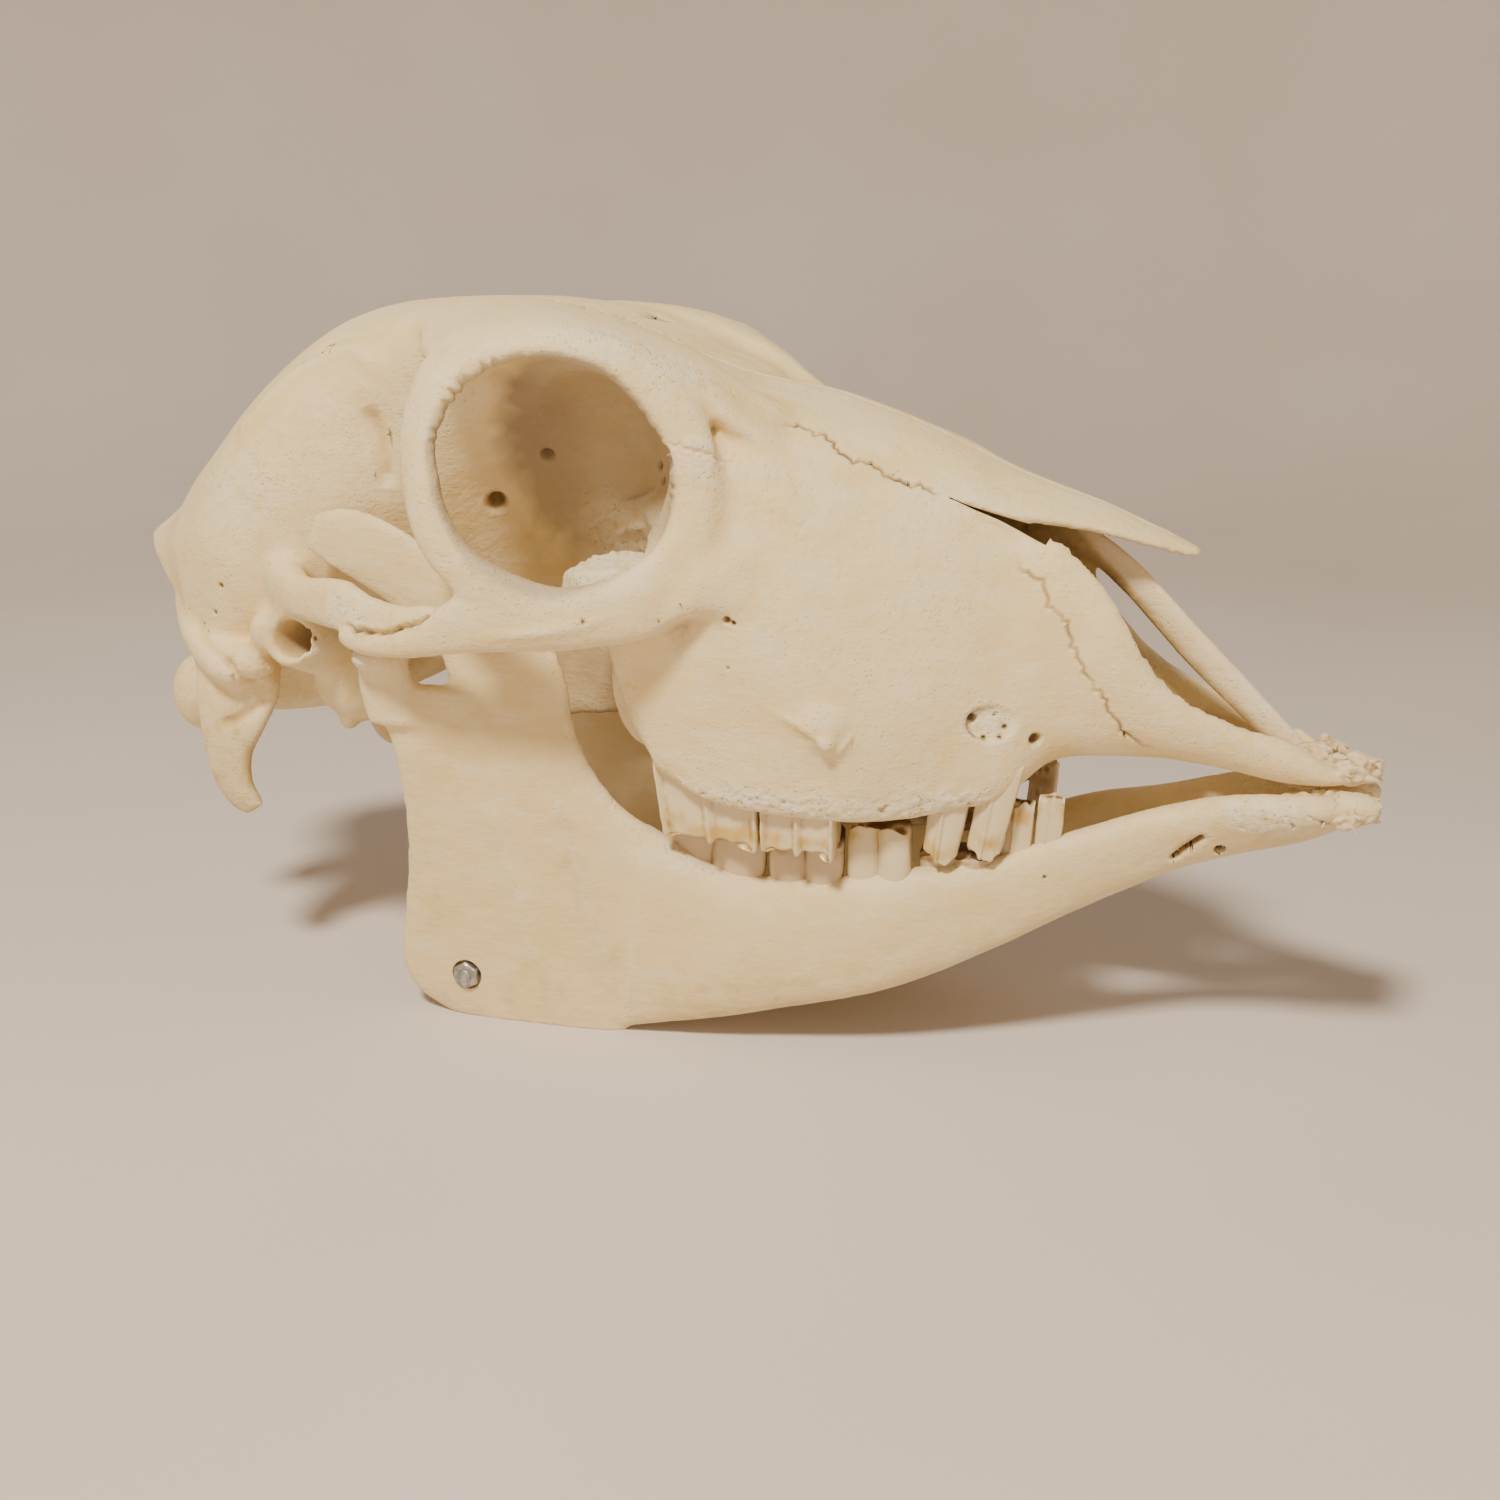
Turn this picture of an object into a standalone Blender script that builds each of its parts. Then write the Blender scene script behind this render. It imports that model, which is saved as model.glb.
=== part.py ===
"""A dry sheep skull: the cranium resting on its two jaw halves, cheek teeth, and a threaded rod.

Sizes are in millimetres while the shapes are drawn: x toward the snout, y toward the skull's left,
z up from the ground the jaws rest on. The last step turns them into metres, centred over the origin.
"""
import math

import bmesh
import bpy
import numpy as np
from mathutils import Matrix

for old in list(bpy.data.objects):
    bpy.data.objects.remove(old)

METRE = 0.001
CENTRE_X = -7.99      # middle of the finished skull, moved over the origin
GAP = 0.3              # air between pieces that touch
CRANIUM_VOXEL = 1.25
JAW_VOXEL = 1.1
CRANIUM_SHARE = 4500   # triangles
JAW_SHARE = 850
SIDES = (-1, 1)        # the skull's right, its left
SHARP = 50             # degrees: steeper folds are shaded as edges


# Curves and skins

def smooth_rows(rows, per_span):
    """Catmull-Rom rows through the given rows."""
    rows = np.asarray(rows, float)
    ends = np.concatenate([[2 * rows[0] - rows[1]], rows, [2 * rows[-1] - rows[-2]]])
    out = []
    for i in range(len(rows) - 1):
        p0, p1, p2, p3 = ends[i:i + 4]
        for j in range(per_span):
            t = j / per_span
            out.append(0.5 * (2 * p1 + (p2 - p0) * t + (2 * p0 - 5 * p1 + 4 * p2 - p3) * t * t
                              + (3 * p1 - p0 - 3 * p2 + p3) * t ** 3))
    out.append(rows[-1])
    return np.array(out)


def smooth_loop(points, count):
    """A closed curve through the points, in count steps."""
    points = np.asarray(points, float)
    wrapped = np.concatenate([points[-2:], points, points[:3]])
    dense = smooth_rows(wrapped, 8)[16:16 + 8 * len(points)]
    at = np.linspace(0, len(dense), count, endpoint=False).astype(int)
    return dense[at]


def skin(bm, rings):
    """A closed skin over rings of points, capped at both ends."""
    rings = np.asarray(rings, float)
    m, n, _ = rings.shape
    made = bmesh.ops.create_grid(bm, x_segments=n, y_segments=m - 1, size=1)["verts"]
    for vert, place in zip(made, np.concatenate([rings, rings[:, :1]], axis=1).reshape(-1, 3)):
        vert.co = place
    seam = [made[row * (n + 1) + col] for row in range(m) for col in (0, n)]
    bmesh.ops.remove_doubles(bm, verts=seam, dist=1e-5)
    left = [v for v in made if v.is_valid]
    rim = list({e for v in left for e in v.link_edges if e.is_boundary})
    bmesh.ops.holes_fill(bm, edges=rim, sides=0)
    bmesh.ops.recalc_face_normals(bm, faces=list({f for v in left for f in v.link_faces}))


def blade(bm, rows, sides=SIDES, per_span=4, around=20, square=2.6):
    """A plate between two edges: rows of (edge point, other edge point, thickness)."""
    for side in sides:
        flat = np.array([[a[0], side * a[1], a[2], b[0], side * b[1], b[2], t] for a, b, t in rows])
        flat = smooth_rows(flat, per_span)
        a, b, thick = flat[:, :3], flat[:, 3:6], flat[:, 6]
        middle, reach = (a + b) / 2, (b - a) / 2
        out = np.cross(np.gradient(middle, axis=0), reach)
        out /= np.linalg.norm(out, axis=1)[:, None]
        turn = np.linspace(0, 2 * np.pi, around, endpoint=False)
        cos, sin = np.cos(turn), np.sin(turn)
        cos = np.sign(cos) * np.abs(cos) ** (2 / square)
        sin = np.sign(sin) * np.abs(sin) ** (2 / square)
        skin(bm, middle[:, None] + reach[:, None] * cos[None, :, None]
             + out[:, None] * (thick[:, None] / 2 * sin)[:, :, None])


def hull(bm, sections, per_span=4, around=52):
    """A body along x through half sections of (half width, height), the same on both sides."""
    rings = []
    for x, half in sections:
        ring = [(x, w, z) for w, z in half] + [(x, -w, z) for w, z in half[::-1] if w > 0]
        rings.append(smooth_loop(ring, around))
    skin(bm, smooth_rows(rings, per_span))


def egg(bm, centre, radii, sides=SIDES, steps=20):
    for side in sides:
        place = Matrix.Translation((centre[0], side * centre[1], centre[2])) @ Matrix.Diagonal((*radii, 1))
        bmesh.ops.create_uvsphere(bm, u_segments=steps, v_segments=steps // 2, radius=1, matrix=place)


def tube(bm, points, radii, sides=SIDES, per_span=4, around=14):
    """A round rod of changing radius through the points."""
    for side in sides:
        path = smooth_rows([[x, side * y, z, r] for (x, y, z), r in zip(points, radii)], per_span)
        middle, radius = path[:, :3], path[:, 3]
        along = np.gradient(middle, axis=0)
        along /= np.linalg.norm(along, axis=1)[:, None]
        up = np.array([0.0, 0.0, 1.0]) if abs(along[0, 2]) < 0.8 else np.array([1.0, 0.0, 0.0])
        across = np.cross(along, up)
        across /= np.linalg.norm(across, axis=1)[:, None]
        over = np.cross(along, across)
        turn = np.linspace(0, 2 * np.pi, around, endpoint=False)
        ring = np.cos(turn)[None, :, None] * across[:, None] + np.sin(turn)[None, :, None] * over[:, None]
        skin(bm, middle[:, None] + radius[:, None, None] * ring)


# Solids

def solid(name, bm):
    mesh = bpy.data.meshes.new(name)
    bm.to_mesh(mesh)
    bm.free()
    made = bpy.data.objects.new(name, mesh)
    bpy.context.scene.collection.objects.link(made)
    return made


def settle(thing):
    """Turns the modifiers of a thing into its mesh."""
    graph = bpy.context.evaluated_depsgraph_get()
    mesh = bpy.data.meshes.new_from_object(thing.evaluated_get(graph))
    thing.modifiers.clear()
    thing.data = mesh


def grow_together(thing, voxel):
    melt = thing.modifiers.new("grown", "REMESH")
    melt.mode = "VOXEL"
    melt.voxel_size = voxel
    settle(thing)


def carve(thing, tool):
    cut = thing.modifiers.new("carved", "BOOLEAN")
    cut.operation = "DIFFERENCE"
    cut.solver = "EXACT"
    cut.object = tool
    settle(thing)
    bpy.data.objects.remove(tool)


def thin_out(thing, triangles):
    mesh = thing.data
    mesh.calc_loop_triangles()
    fewer = thing.modifiers.new("fewer", "DECIMATE")
    fewer.use_collapse_triangulate = True
    fewer.ratio = triangles / len(mesh.loop_triangles)
    settle(thing)


def join(thing, bm_other):
    bm = bmesh.new()
    bm.from_mesh(thing.data)
    other = bpy.data.meshes.new("other")
    bm_other.to_mesh(other)
    bm_other.free()
    bm.from_mesh(other)
    bm.to_mesh(thing.data)
    bm.free()


def relax(thing, rounds, fill, wear, slide=0.5):
    """Rounds the surface: hollow edges fill, ridges wear."""
    mesh = thing.data
    count = len(mesh.vertices)
    ends = np.empty(len(mesh.edges) * 2, np.int32)
    mesh.edges.foreach_get("vertices", ends)
    ends = ends.reshape(-1, 2)
    near = np.maximum(np.bincount(ends.ravel(), minlength=count), 1)[:, None]
    place = np.empty(count * 3, np.float32)
    facing = np.empty(count * 3, np.float32)
    for _ in range(rounds):
        mesh.vertices.foreach_get("co", place)
        mesh.vertex_normals.foreach_get("vector", facing)
        at, out = place.reshape(-1, 3).astype(float), facing.reshape(-1, 3).astype(float)
        total = np.stack([np.bincount(ends[:, 0], at[ends[:, 1], k], count)
                          + np.bincount(ends[:, 1], at[ends[:, 0], k], count) for k in range(3)], 1)
        pull = total / near - at
        rise = (pull * out).sum(1)[:, None]
        at += slide * (pull - rise * out) + out * np.where(rise > 0, fill * rise, wear * rise)
        mesh.vertices.foreach_set("co", at.astype(np.float32).ravel())
        mesh.update()


def finished(thing, material, smooth=True):
    """Millimetres to metres, over the origin, with its material."""
    shift = Matrix.Translation((-CENTRE_X * METRE, 0, 0)) @ Matrix.Scale(METRE, 4)
    thing.data.transform(shift)
    thing.data.materials.clear()
    thing.data.materials.append(material)
    for face in thing.data.polygons:
        face.use_smooth = smooth
    thing.data.set_sharp_from_angle(angle=math.radians(SHARP))
    thing.data.update()


def plain_material(name, colour, rough, metal=0.0):
    made = bpy.data.materials.new(name)
    made.use_nodes = True
    shader = made.node_tree.nodes["Principled BSDF"]
    shader.inputs["Base Color"].default_value = (*colour, 1)
    shader.inputs["Roughness"].default_value = rough
    shader.inputs["Metallic"].default_value = metal
    return made


BONE = plain_material("bone", (0.72, 0.62, 0.45), 0.7)
TOOTH = plain_material("tooth", (0.78, 0.68, 0.48), 0.35)
STEEL = plain_material("steel", (0.45, 0.44, 0.42), 0.35, 1.0)


# Cranium: braincase and the wall between the orbits

outer = bmesh.new()
hull(outer, [
    (-149.5, [(0, 101.5), (4, 101), (8, 99.5), (8, 98), (5, 97), (0, 96.5)]),
    (-146, [(0, 104), (7, 102.5), (12, 99.5), (12, 97), (8, 94), (0, 92)]),
    (-141, [(0, 106.8), (10, 104.8), (16.5, 99.5), (16.5, 95), (11, 88), (0, 84)]),
    (-135, [(0, 111.4), (12, 109.4), (20.5, 101.4), (21.5, 93), (18, 84.5), (12, 77), (0, 72)]),
    (-129.5, [(0, 117.4), (13, 115.4), (23, 107.6), (27, 98), (25.5, 86), (21.5, 76), (15, 67), (0, 65)]),
    (-124, [(0, 122.8), (14, 120.8), (25, 111.6), (30.5, 99), (30, 85), (27, 74), (18, 66), (0, 65)]),
    (-110, [(0, 136.2), (15, 134.2), (28, 125.8), (35, 111), (36, 95), (32, 81), (22, 70), (0, 68)]),
    (-95, [(0, 147.2), (16, 145.2), (29, 136.4), (34, 120), (34, 102), (30, 87), (20, 74), (0, 71)]),
    (-80, [(0, 153), (18, 151), (30, 142), (33, 125), (32, 106), (27, 91), (16, 78), (0, 74)]),
    (-65, [(0, 154.5), (20, 153), (32, 146), (31, 130), (25, 110), (18, 95), (11, 84), (0, 79)]),
    (-50, [(0, 154.5), (22, 154), (37, 149), (33, 137), (20, 118), (13, 101), (9, 88), (0, 84)]),
    (-35, [(0, 152), (22, 152.5), (38, 149), (36, 142), (21, 128), (12, 109), (9, 92), (0, 86)]),
    (-20, [(0, 147), (20, 148), (36, 146), (36, 140), (24, 126), (15, 106), (11, 91), (0, 83)]),
    (-8, [(0, 142), (18, 143), (32, 139), (36, 130), (33, 113), (24, 99), (16, 88), (0, 79)]),
    (2, [(0, 139), (15, 139), (28, 134), (34, 124), (33, 110), (24, 99), (14, 90), (0, 84)]),
])

# The face in front of the orbits, down to the palate and out to the snout

hull(outer, [
    (-9, [(0, 138), (14, 139), (30, 134), (36, 123), (37.5, 108), (37, 94), (37, 78), (37, 66),
          (34.5, 61), (23, 62), (12, 70), (0, 72)]),
    (4, [(0, 137.5), (15, 137.5), (28, 132), (36, 121), (39, 106), (39.5, 90), (38.6, 74), (37.6, 60),
         (35.5, 55), (23, 56), (14, 66), (0, 68)]),
    (20, [(0, 134), (13, 133), (24, 127), (32, 117), (37, 102), (39, 86), (38.4, 70), (37.4, 58),
          (35, 53.4), (23, 54), (14, 64), (0, 67)]),
    (35, [(0, 130), (12, 129), (20, 123), (27, 113), (32, 98), (35.2, 82), (35.6, 68), (34.4, 57),
          (32, 52.8), (21, 53.5), (13, 63), (0, 66)]),
    (50, [(0, 124), (11, 123), (17, 117.5), (22, 109), (26, 94), (28.4, 80), (28.6, 68), (28, 58.5),
          (25.5, 54.6), (17, 55.5), (11, 63), (0, 65)]),
    (61, [(0, 115), (10, 114), (15, 110.5), (19, 103), (21.5, 91), (23.2, 79), (24.2, 69), (24.2, 61.5),
          (21.5, 57.6), (13, 60), (8, 63), (0, 64)]),
    (70, [(0, 109), (9, 110), (16, 108.5), (19, 101), (20, 90), (19.5, 78), (18.5, 70), (16, 65.5),
          (12, 64), (7, 64), (0, 64)]),
    (80, [(0, 97), (9, 98.5), (16, 99), (19, 93), (19.3, 85), (18.5, 77), (17, 71), (14, 67),
          (10, 65.5), (6, 65), (0, 65)]),
    (90, [(0, 81), (8, 83), (14, 84), (17, 80), (17, 76), (15.5, 71), (13, 68), (10, 66), (7, 65), (4, 65),
          (0, 65)]),
    (102, [(0, 73), (6, 74.5), (10, 76), (13.5, 74), (13.5, 70), (12, 66.5), (10, 65), (7.5, 64),
           (5, 64), (3, 64), (0, 64)]),
    (114, [(0, 69), (5, 71), (8.5, 71.5), (11, 69), (11, 66), (10, 63.5), (8, 62.3), (6, 62),
           (4, 62), (2, 62), (0, 62)]),
    (122, [(0, 65), (4, 66), (7.5, 66), (9, 64.6), (9, 63.4), (8, 62.4), (6, 61.8), (5, 61.6),
           (3, 61.6), (1.5, 61.6), (0, 61.6)]),
    (127, [(0, 63.4), (2, 64), (4, 64), (5.5, 63.4), (5.5, 62.8), (5, 62.3), (4, 61.9), (3, 61.8),
           (2, 61.8), (1, 61.8), (0, 61.8)]),
])

# Orbit rims, the brow shelf over them and the bar behind them

RIM = [  # inner edge, outer edge, thickness; from the top forward, round and up the rear
    ((-24, 47.5, 144.4), (-24, 41, 149), 5),
    ((-14.4, 44.5, 141.3), (-12, 38, 146), 5),
    ((-8.1, 41, 133.8), (0, 34, 137), 6),
    ((-3.7, 39.5, 125.6), (5, 35, 127), 6),
    ((-2.5, 39.5, 117), (7, 37, 114), 6),
    ((-5, 42, 108.6), (3, 41, 103), 6),
    ((-12.5, 47, 102.7), (-8, 46, 94), 6),
    ((-21.2, 51.5, 101.2), (-20, 52, 90), 5.5),
    ((-30.8, 55.5, 105), (-33, 56, 94), 5),
    ((-38.8, 57.5, 113), (-47, 57, 106), 4.5),
    ((-43.1, 57.5, 122.4), (-52, 55, 119), 4.5),
    ((-44, 55.5, 130.6), (-53, 52, 131.5), 4.5),
    ((-40.2, 52.5, 138.9), (-50, 47, 143), 5),
    ((-32.7, 49.5, 143.5), (-38, 42, 149), 5),
    ((-24, 47.5, 144.4), (-24, 41, 149), 5),
]
blade(outer, RIM, per_span=4, around=16)
blade(outer, [
    ((-62, 24, 150), (-57, 36, 146), 5),
    ((-53, 26, 151.5), (-51, 46, 143), 6),
    ((-42, 26, 152), (-42, 47.5, 146), 6),
    ((-29, 24, 150), (-27, 46, 147.5), 6),
    ((-14, 22, 146), (-13, 42, 144), 6),
    ((-3, 20, 142), (-1, 35, 137), 6),
])

# Cheek arches: the cheekbone bar, and the bar of the temple that meets it from behind

blade(outer, [
    ((12, 35, 110), (12, 36, 92), 8),
    ((2, 39.5, 108), (3, 40.5, 95), 8),
    ((-8, 45, 104), (-7, 45.5, 90), 7),
    ((-20, 51.5, 101), (-20, 51.5, 88.5), 6),
    ((-32, 55.5, 101), (-32, 55, 87.8), 5),
    ((-42, 57, 98.5), (-43, 56, 86.8), 5),
    ((-49, 56.8, 93.0), (-50.5, 55.8, 85.6), 4.6),
    ((-57, 55.4, 90.2), (-58.5, 54.6, 84.8), 4.2),
    ((-65, 53, 89.4), (-66.5, 52.6, 84.8), 3.6),
    ((-71, 50.8, 89.4), (-71.5, 50.6, 86.2), 2.8),
])
blade(outer, [
    ((-100, 30, 102), (-98, 30, 88), 8),
    ((-93, 37, 100), (-92, 37, 89), 8),
    ((-85, 42.5, 98.4), (-84.5, 43, 88.5), 5.5),
    ((-78, 45.6, 98.8), (-78, 46.6, 88.4), 4.5),
    ((-71, 47.8, 99.0), (-71, 49.2, 88.0), 4.2),
    ((-64, 50.0, 96.6), (-64, 51.2, 87.4), 4.4),
    ((-55, 53.0, 95.8), (-55, 53.8, 87.6), 4.4),
    ((-46, 55.4, 96.8), (-46.5, 55.4, 90.5), 3.4),
])

# Face bumps: the cheek knob, and the swollen wall low in the orbit

egg(outer, (26.5, 37, 74.5), (7, 3.2, 4.5))
egg(outer, (29, 37.4, 71), (3.2, 3, 2.8))
egg(outer, (-17, 34, 98), (11, 12, 8))
egg(outer, (-12, 27, 78), (9, 7.5, 15))
blade(outer, [
    ((-17.5, 40, 94), (0, 37.5, 93), 6),
    ((-17, 37, 84), (0, 36, 83), 6),
    ((-14.5, 34.8, 73), (2, 35, 73), 6),
    ((-10.5, 33.8, 64.5), (4, 34, 64), 6),
])

# The crest at the back of the skull, down to the ear

blade(outer, [
    ((-150.6, 0, 100.8), (-140, 0, 100), 3.2),
    ((-148.8, 9, 99.8), (-139, 6, 98), 3.2),
    ((-143.6, 15.8, 96.8), (-135, 12, 95), 3.2),
    ((-135.0, 22.4, 90.8), (-129, 18, 90), 3.4),
    ((-127.0, 27.2, 84.8), (-121, 22, 85), 3.8),
    ((-124.0, 30.2, 78.6), (-117, 26, 80), 4.2),
])

# Skull base: plates behind the palate, the drum swelling, ear tube, hooks, and neck joint bumps

blade(outer, [
    ((-2, 15, 84), (-2, 17, 67), 6),
    ((-14, 13, 90), (-14, 15, 67), 4.5),
    ((-26, 12, 90), (-26, 14, 66), 4),
    ((-38, 11, 88), (-39, 13, 64), 3.8),
    ((-50, 10, 86), (-52, 12, 63), 3.8),
    ((-60, 10, 86), (-62, 12, 70), 4),
], around=14)
egg(outer, (-84, 24, 72), (12, 8, 10))
tube(outer, [(-86, 25, 68), (-86.5, 26, 63), (-87, 27, 60.5)], [4, 2.6, 1.8])
tube(outer, [(-88, 28, 80), (-91, 36, 83), (-92.5, 43, 83.5)], [7, 7, 6.4])
tube(outer, [(-131, 21, 87), (-123, 28, 80), (-111, 34, 75), (-101, 35, 78)], [3.5, 4.5, 5, 4])
blade(outer, [
    ((-128, 24, 84), (-104, 26, 80), 9),
    ((-124.5, 29, 74), (-102, 30, 68), 7),
    ((-123, 31.5, 64), (-105, 31.5, 60.5), 5.8),
    ((-121.5, 32.5, 55), (-109, 32, 54), 5),
    ((-119.5, 32.5, 47), (-110, 32, 47.5), 4.4),
    ((-116, 32, 41), (-108.5, 31.5, 44), 3.6),
    ((-112, 31.5, 38.8), (-107.5, 31, 41.8), 2.8),
], around=14)
egg(outer, (-134.5, 14.5, 62.5), (6.8, 7.5, 9.5))
hull(outer, [
    (-134, [(0, 66), (7, 66), (13, 64), (12, 58), (6, 57), (0, 57)]),
    (-122, [(0, 72), (8, 72), (15, 69), (14, 60), (8, 58), (0, 58)]),
    (-104, [(0, 78), (8, 78), (16, 74), (15, 63), (9, 60), (0, 61.5)]),
    (-84, [(0, 84), (8, 84), (12, 80), (11, 68), (7, 65), (0, 66)]),
    (-64, [(0, 92), (7, 92), (10, 86), (8, 80), (5, 78), (0, 78)]),
], around=32)

cranium = solid("cranium", outer)
grow_together(cranium, CRANIUM_VOXEL)

# Hollows: nose, the opening for the spinal cord, ear openings, slits of the snout floor, and orbits

hollow = bmesh.new()
hull(hollow, [
    (16, [(0, 118), (7, 117), (12, 106), (12, 88), (8, 77), (0, 75)]),
    (38, [(0, 124), (9, 122.5), (18, 112), (24.5, 97), (25, 82), (19, 73), (10, 70), (0, 70)]),
    (55, [(0, 119.5), (9, 118), (15, 112), (20, 100), (22, 84), (19, 73), (10, 69.5), (0, 69)]),
    (64, [(0, 124), (8, 123), (12.5, 114), (15.5, 103), (17, 88), (16, 76), (10, 69.5), (0, 69)]),
    (72, [(0, 124), (7, 124), (12.5, 119), (15.5, 106), (16.5, 90), (15.5, 77), (10, 69.5), (0, 69)]),
    (82, [(0, 112), (7, 112), (12.5, 108), (15.5, 97), (16, 86), (14, 76), (9, 69.5), (0, 69)]),
    (92, [(0, 100), (6, 100), (11, 96), (13.6, 87), (13.8, 79), (12, 72), (8, 68.5), (0, 68.5)]),
    (104, [(0, 90), (4, 90), (8, 87), (10.4, 80), (10.6, 74), (9, 69), (6, 67.5), (0, 67.5)]),
    (116, [(0, 82), (3, 82), (5, 79), (7, 74), (7, 70), (6, 67.5), (4, 66), (0, 66)]),
    (126, [(0, 76), (1.5, 76), (2.5, 74), (3.5, 70), (3.5, 67), (3, 65), (2, 64), (0, 64)]),
], around=40)
tube(hollow, [(-160, 0, 68), (-145, 0, 71), (-130, 0, 77), (-116, 0, 84)], [11, 10.5, 10, 8],
     sides=(1,), around=24)
tube(hollow, [(-80, 20, 79), (-90, 36, 82.5), (-93.5, 56, 84)], [3.6, 3.8, 4.2])
tube(hollow, [(108, 4.6, 74), (107, 4.6, 66), (106, 4.6, 56)], [2.2, 2.2, 2.2])
tube(hollow, [(100, 5.2, 74), (99, 5.2, 66), (98, 5.2, 56)], [2.6, 2.6, 2.6])
tube(hollow, [(93, 5.6, 74), (92, 5.6, 66), (91, 5.6, 56)], [2.4, 2.4, 2.4])
for side in SIDES:
    tube(hollow, [(-23.5, side * 66, 122.5), (-23.5, side * 52, 122.4), (-23.5, side * 40, 122),
                  (-24, side * 31, 121), (-24.5, side * 24, 120), (-25, side * 18, 119),
                  (-25, side * 16.4, 119)],
         [19.6, 19.6, 19.6, 18.4, 15.5, 9, 4], sides=(1,), around=32)
hollow_tool = solid("hollow", hollow)
grow_together(hollow_tool, CRANIUM_VOXEL)
carve(cranium, hollow_tool)

# The left edge of the nose opening is broken a little lower than the right

broken = bmesh.new()
EDGE = [(60, 122), (64, 112), (70, 102), (74, 94), (77, 90), (83, 83.5), (89, 79.5), (95, 77), (102, 74),
        (111, 68.5), (117, 70), (117, 122)]
skin(broken, [[(x, y, z) for x, z in EDGE] for y in (6, 30)])
bmesh.ops.triangulate(broken, faces=broken.faces)
carve(cranium, solid("broken", broken))

# Nose bones, the dried midline strip in the nose opening, and the lump of dried gum at the tip

late = bmesh.new()
NOSE = [  # x, half width, height of the side edge, rise of the middle, thickness
    (-16, 4, 143.0, 1.0, 3), (-6, 11, 138.5, 2.5, 3), (8, 16, 133.5, 4.5, 3), (20, 17, 130.3, 5.5, 3),
    (34, 17.5, 125, 6.5, 3), (48, 18.5, 118, 7.5, 3), (58, 18, 114.5, 6.5, 3), (66, 15.5, 113.5, 4.5, 3),
    (76, 12, 111.5, 3.4, 2.8), (85, 8, 108.8, 2.4, 2.6), (92, 3.5, 106.6, 1.4, 2.2),
    (95, 1.5, 105.8, 0.8, 1.6),
]
shell = []
for x, half, edge, rise, thick in NOSE:
    spread = np.linspace(-1, 1, 15)
    top = [(x, half * s, edge + rise * (1 - s * s)) for s in spread]
    under = [(x, half * 0.94 * s, edge - thick * 0.5 + (rise - thick * 0.5) * (1 - s * s) - 0.2)
             for s in spread[::-1]]
    shell.append(top + under)
skin(late, smooth_rows(shell, 3))
blade(late, [
    ((60, 0, 115), (60, 0, 104), 2.4),
    ((70.4, 0, 111.3), (71, 0, 104.8), 2.4),
    ((82, 0, 103.2), (81, 0, 98.2), 3.0),
    ((95.8, 0, 89.6), (94, 0, 85.2), 3.6),
    ((108.4, 0, 77.8), (106, 0, 73.8), 3.8),
    ((119, 0, 67.5), (116, 0, 64), 4.0),
], sides=(1,), around=14)
egg(late, (121, 0, 64.6), (10, 8.5, 2.6), sides=(1,))
egg(late, (128.4, 0, 64.3), (6.4, 6.5, 2.4), sides=(1,))
join(cranium, late)
grow_together(cranium, CRANIUM_VOXEL)
relax(cranium, 6, fill=0.7, wear=0.2)
thin_out(cranium, CRANIUM_SHARE)


# Jaw halves

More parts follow.
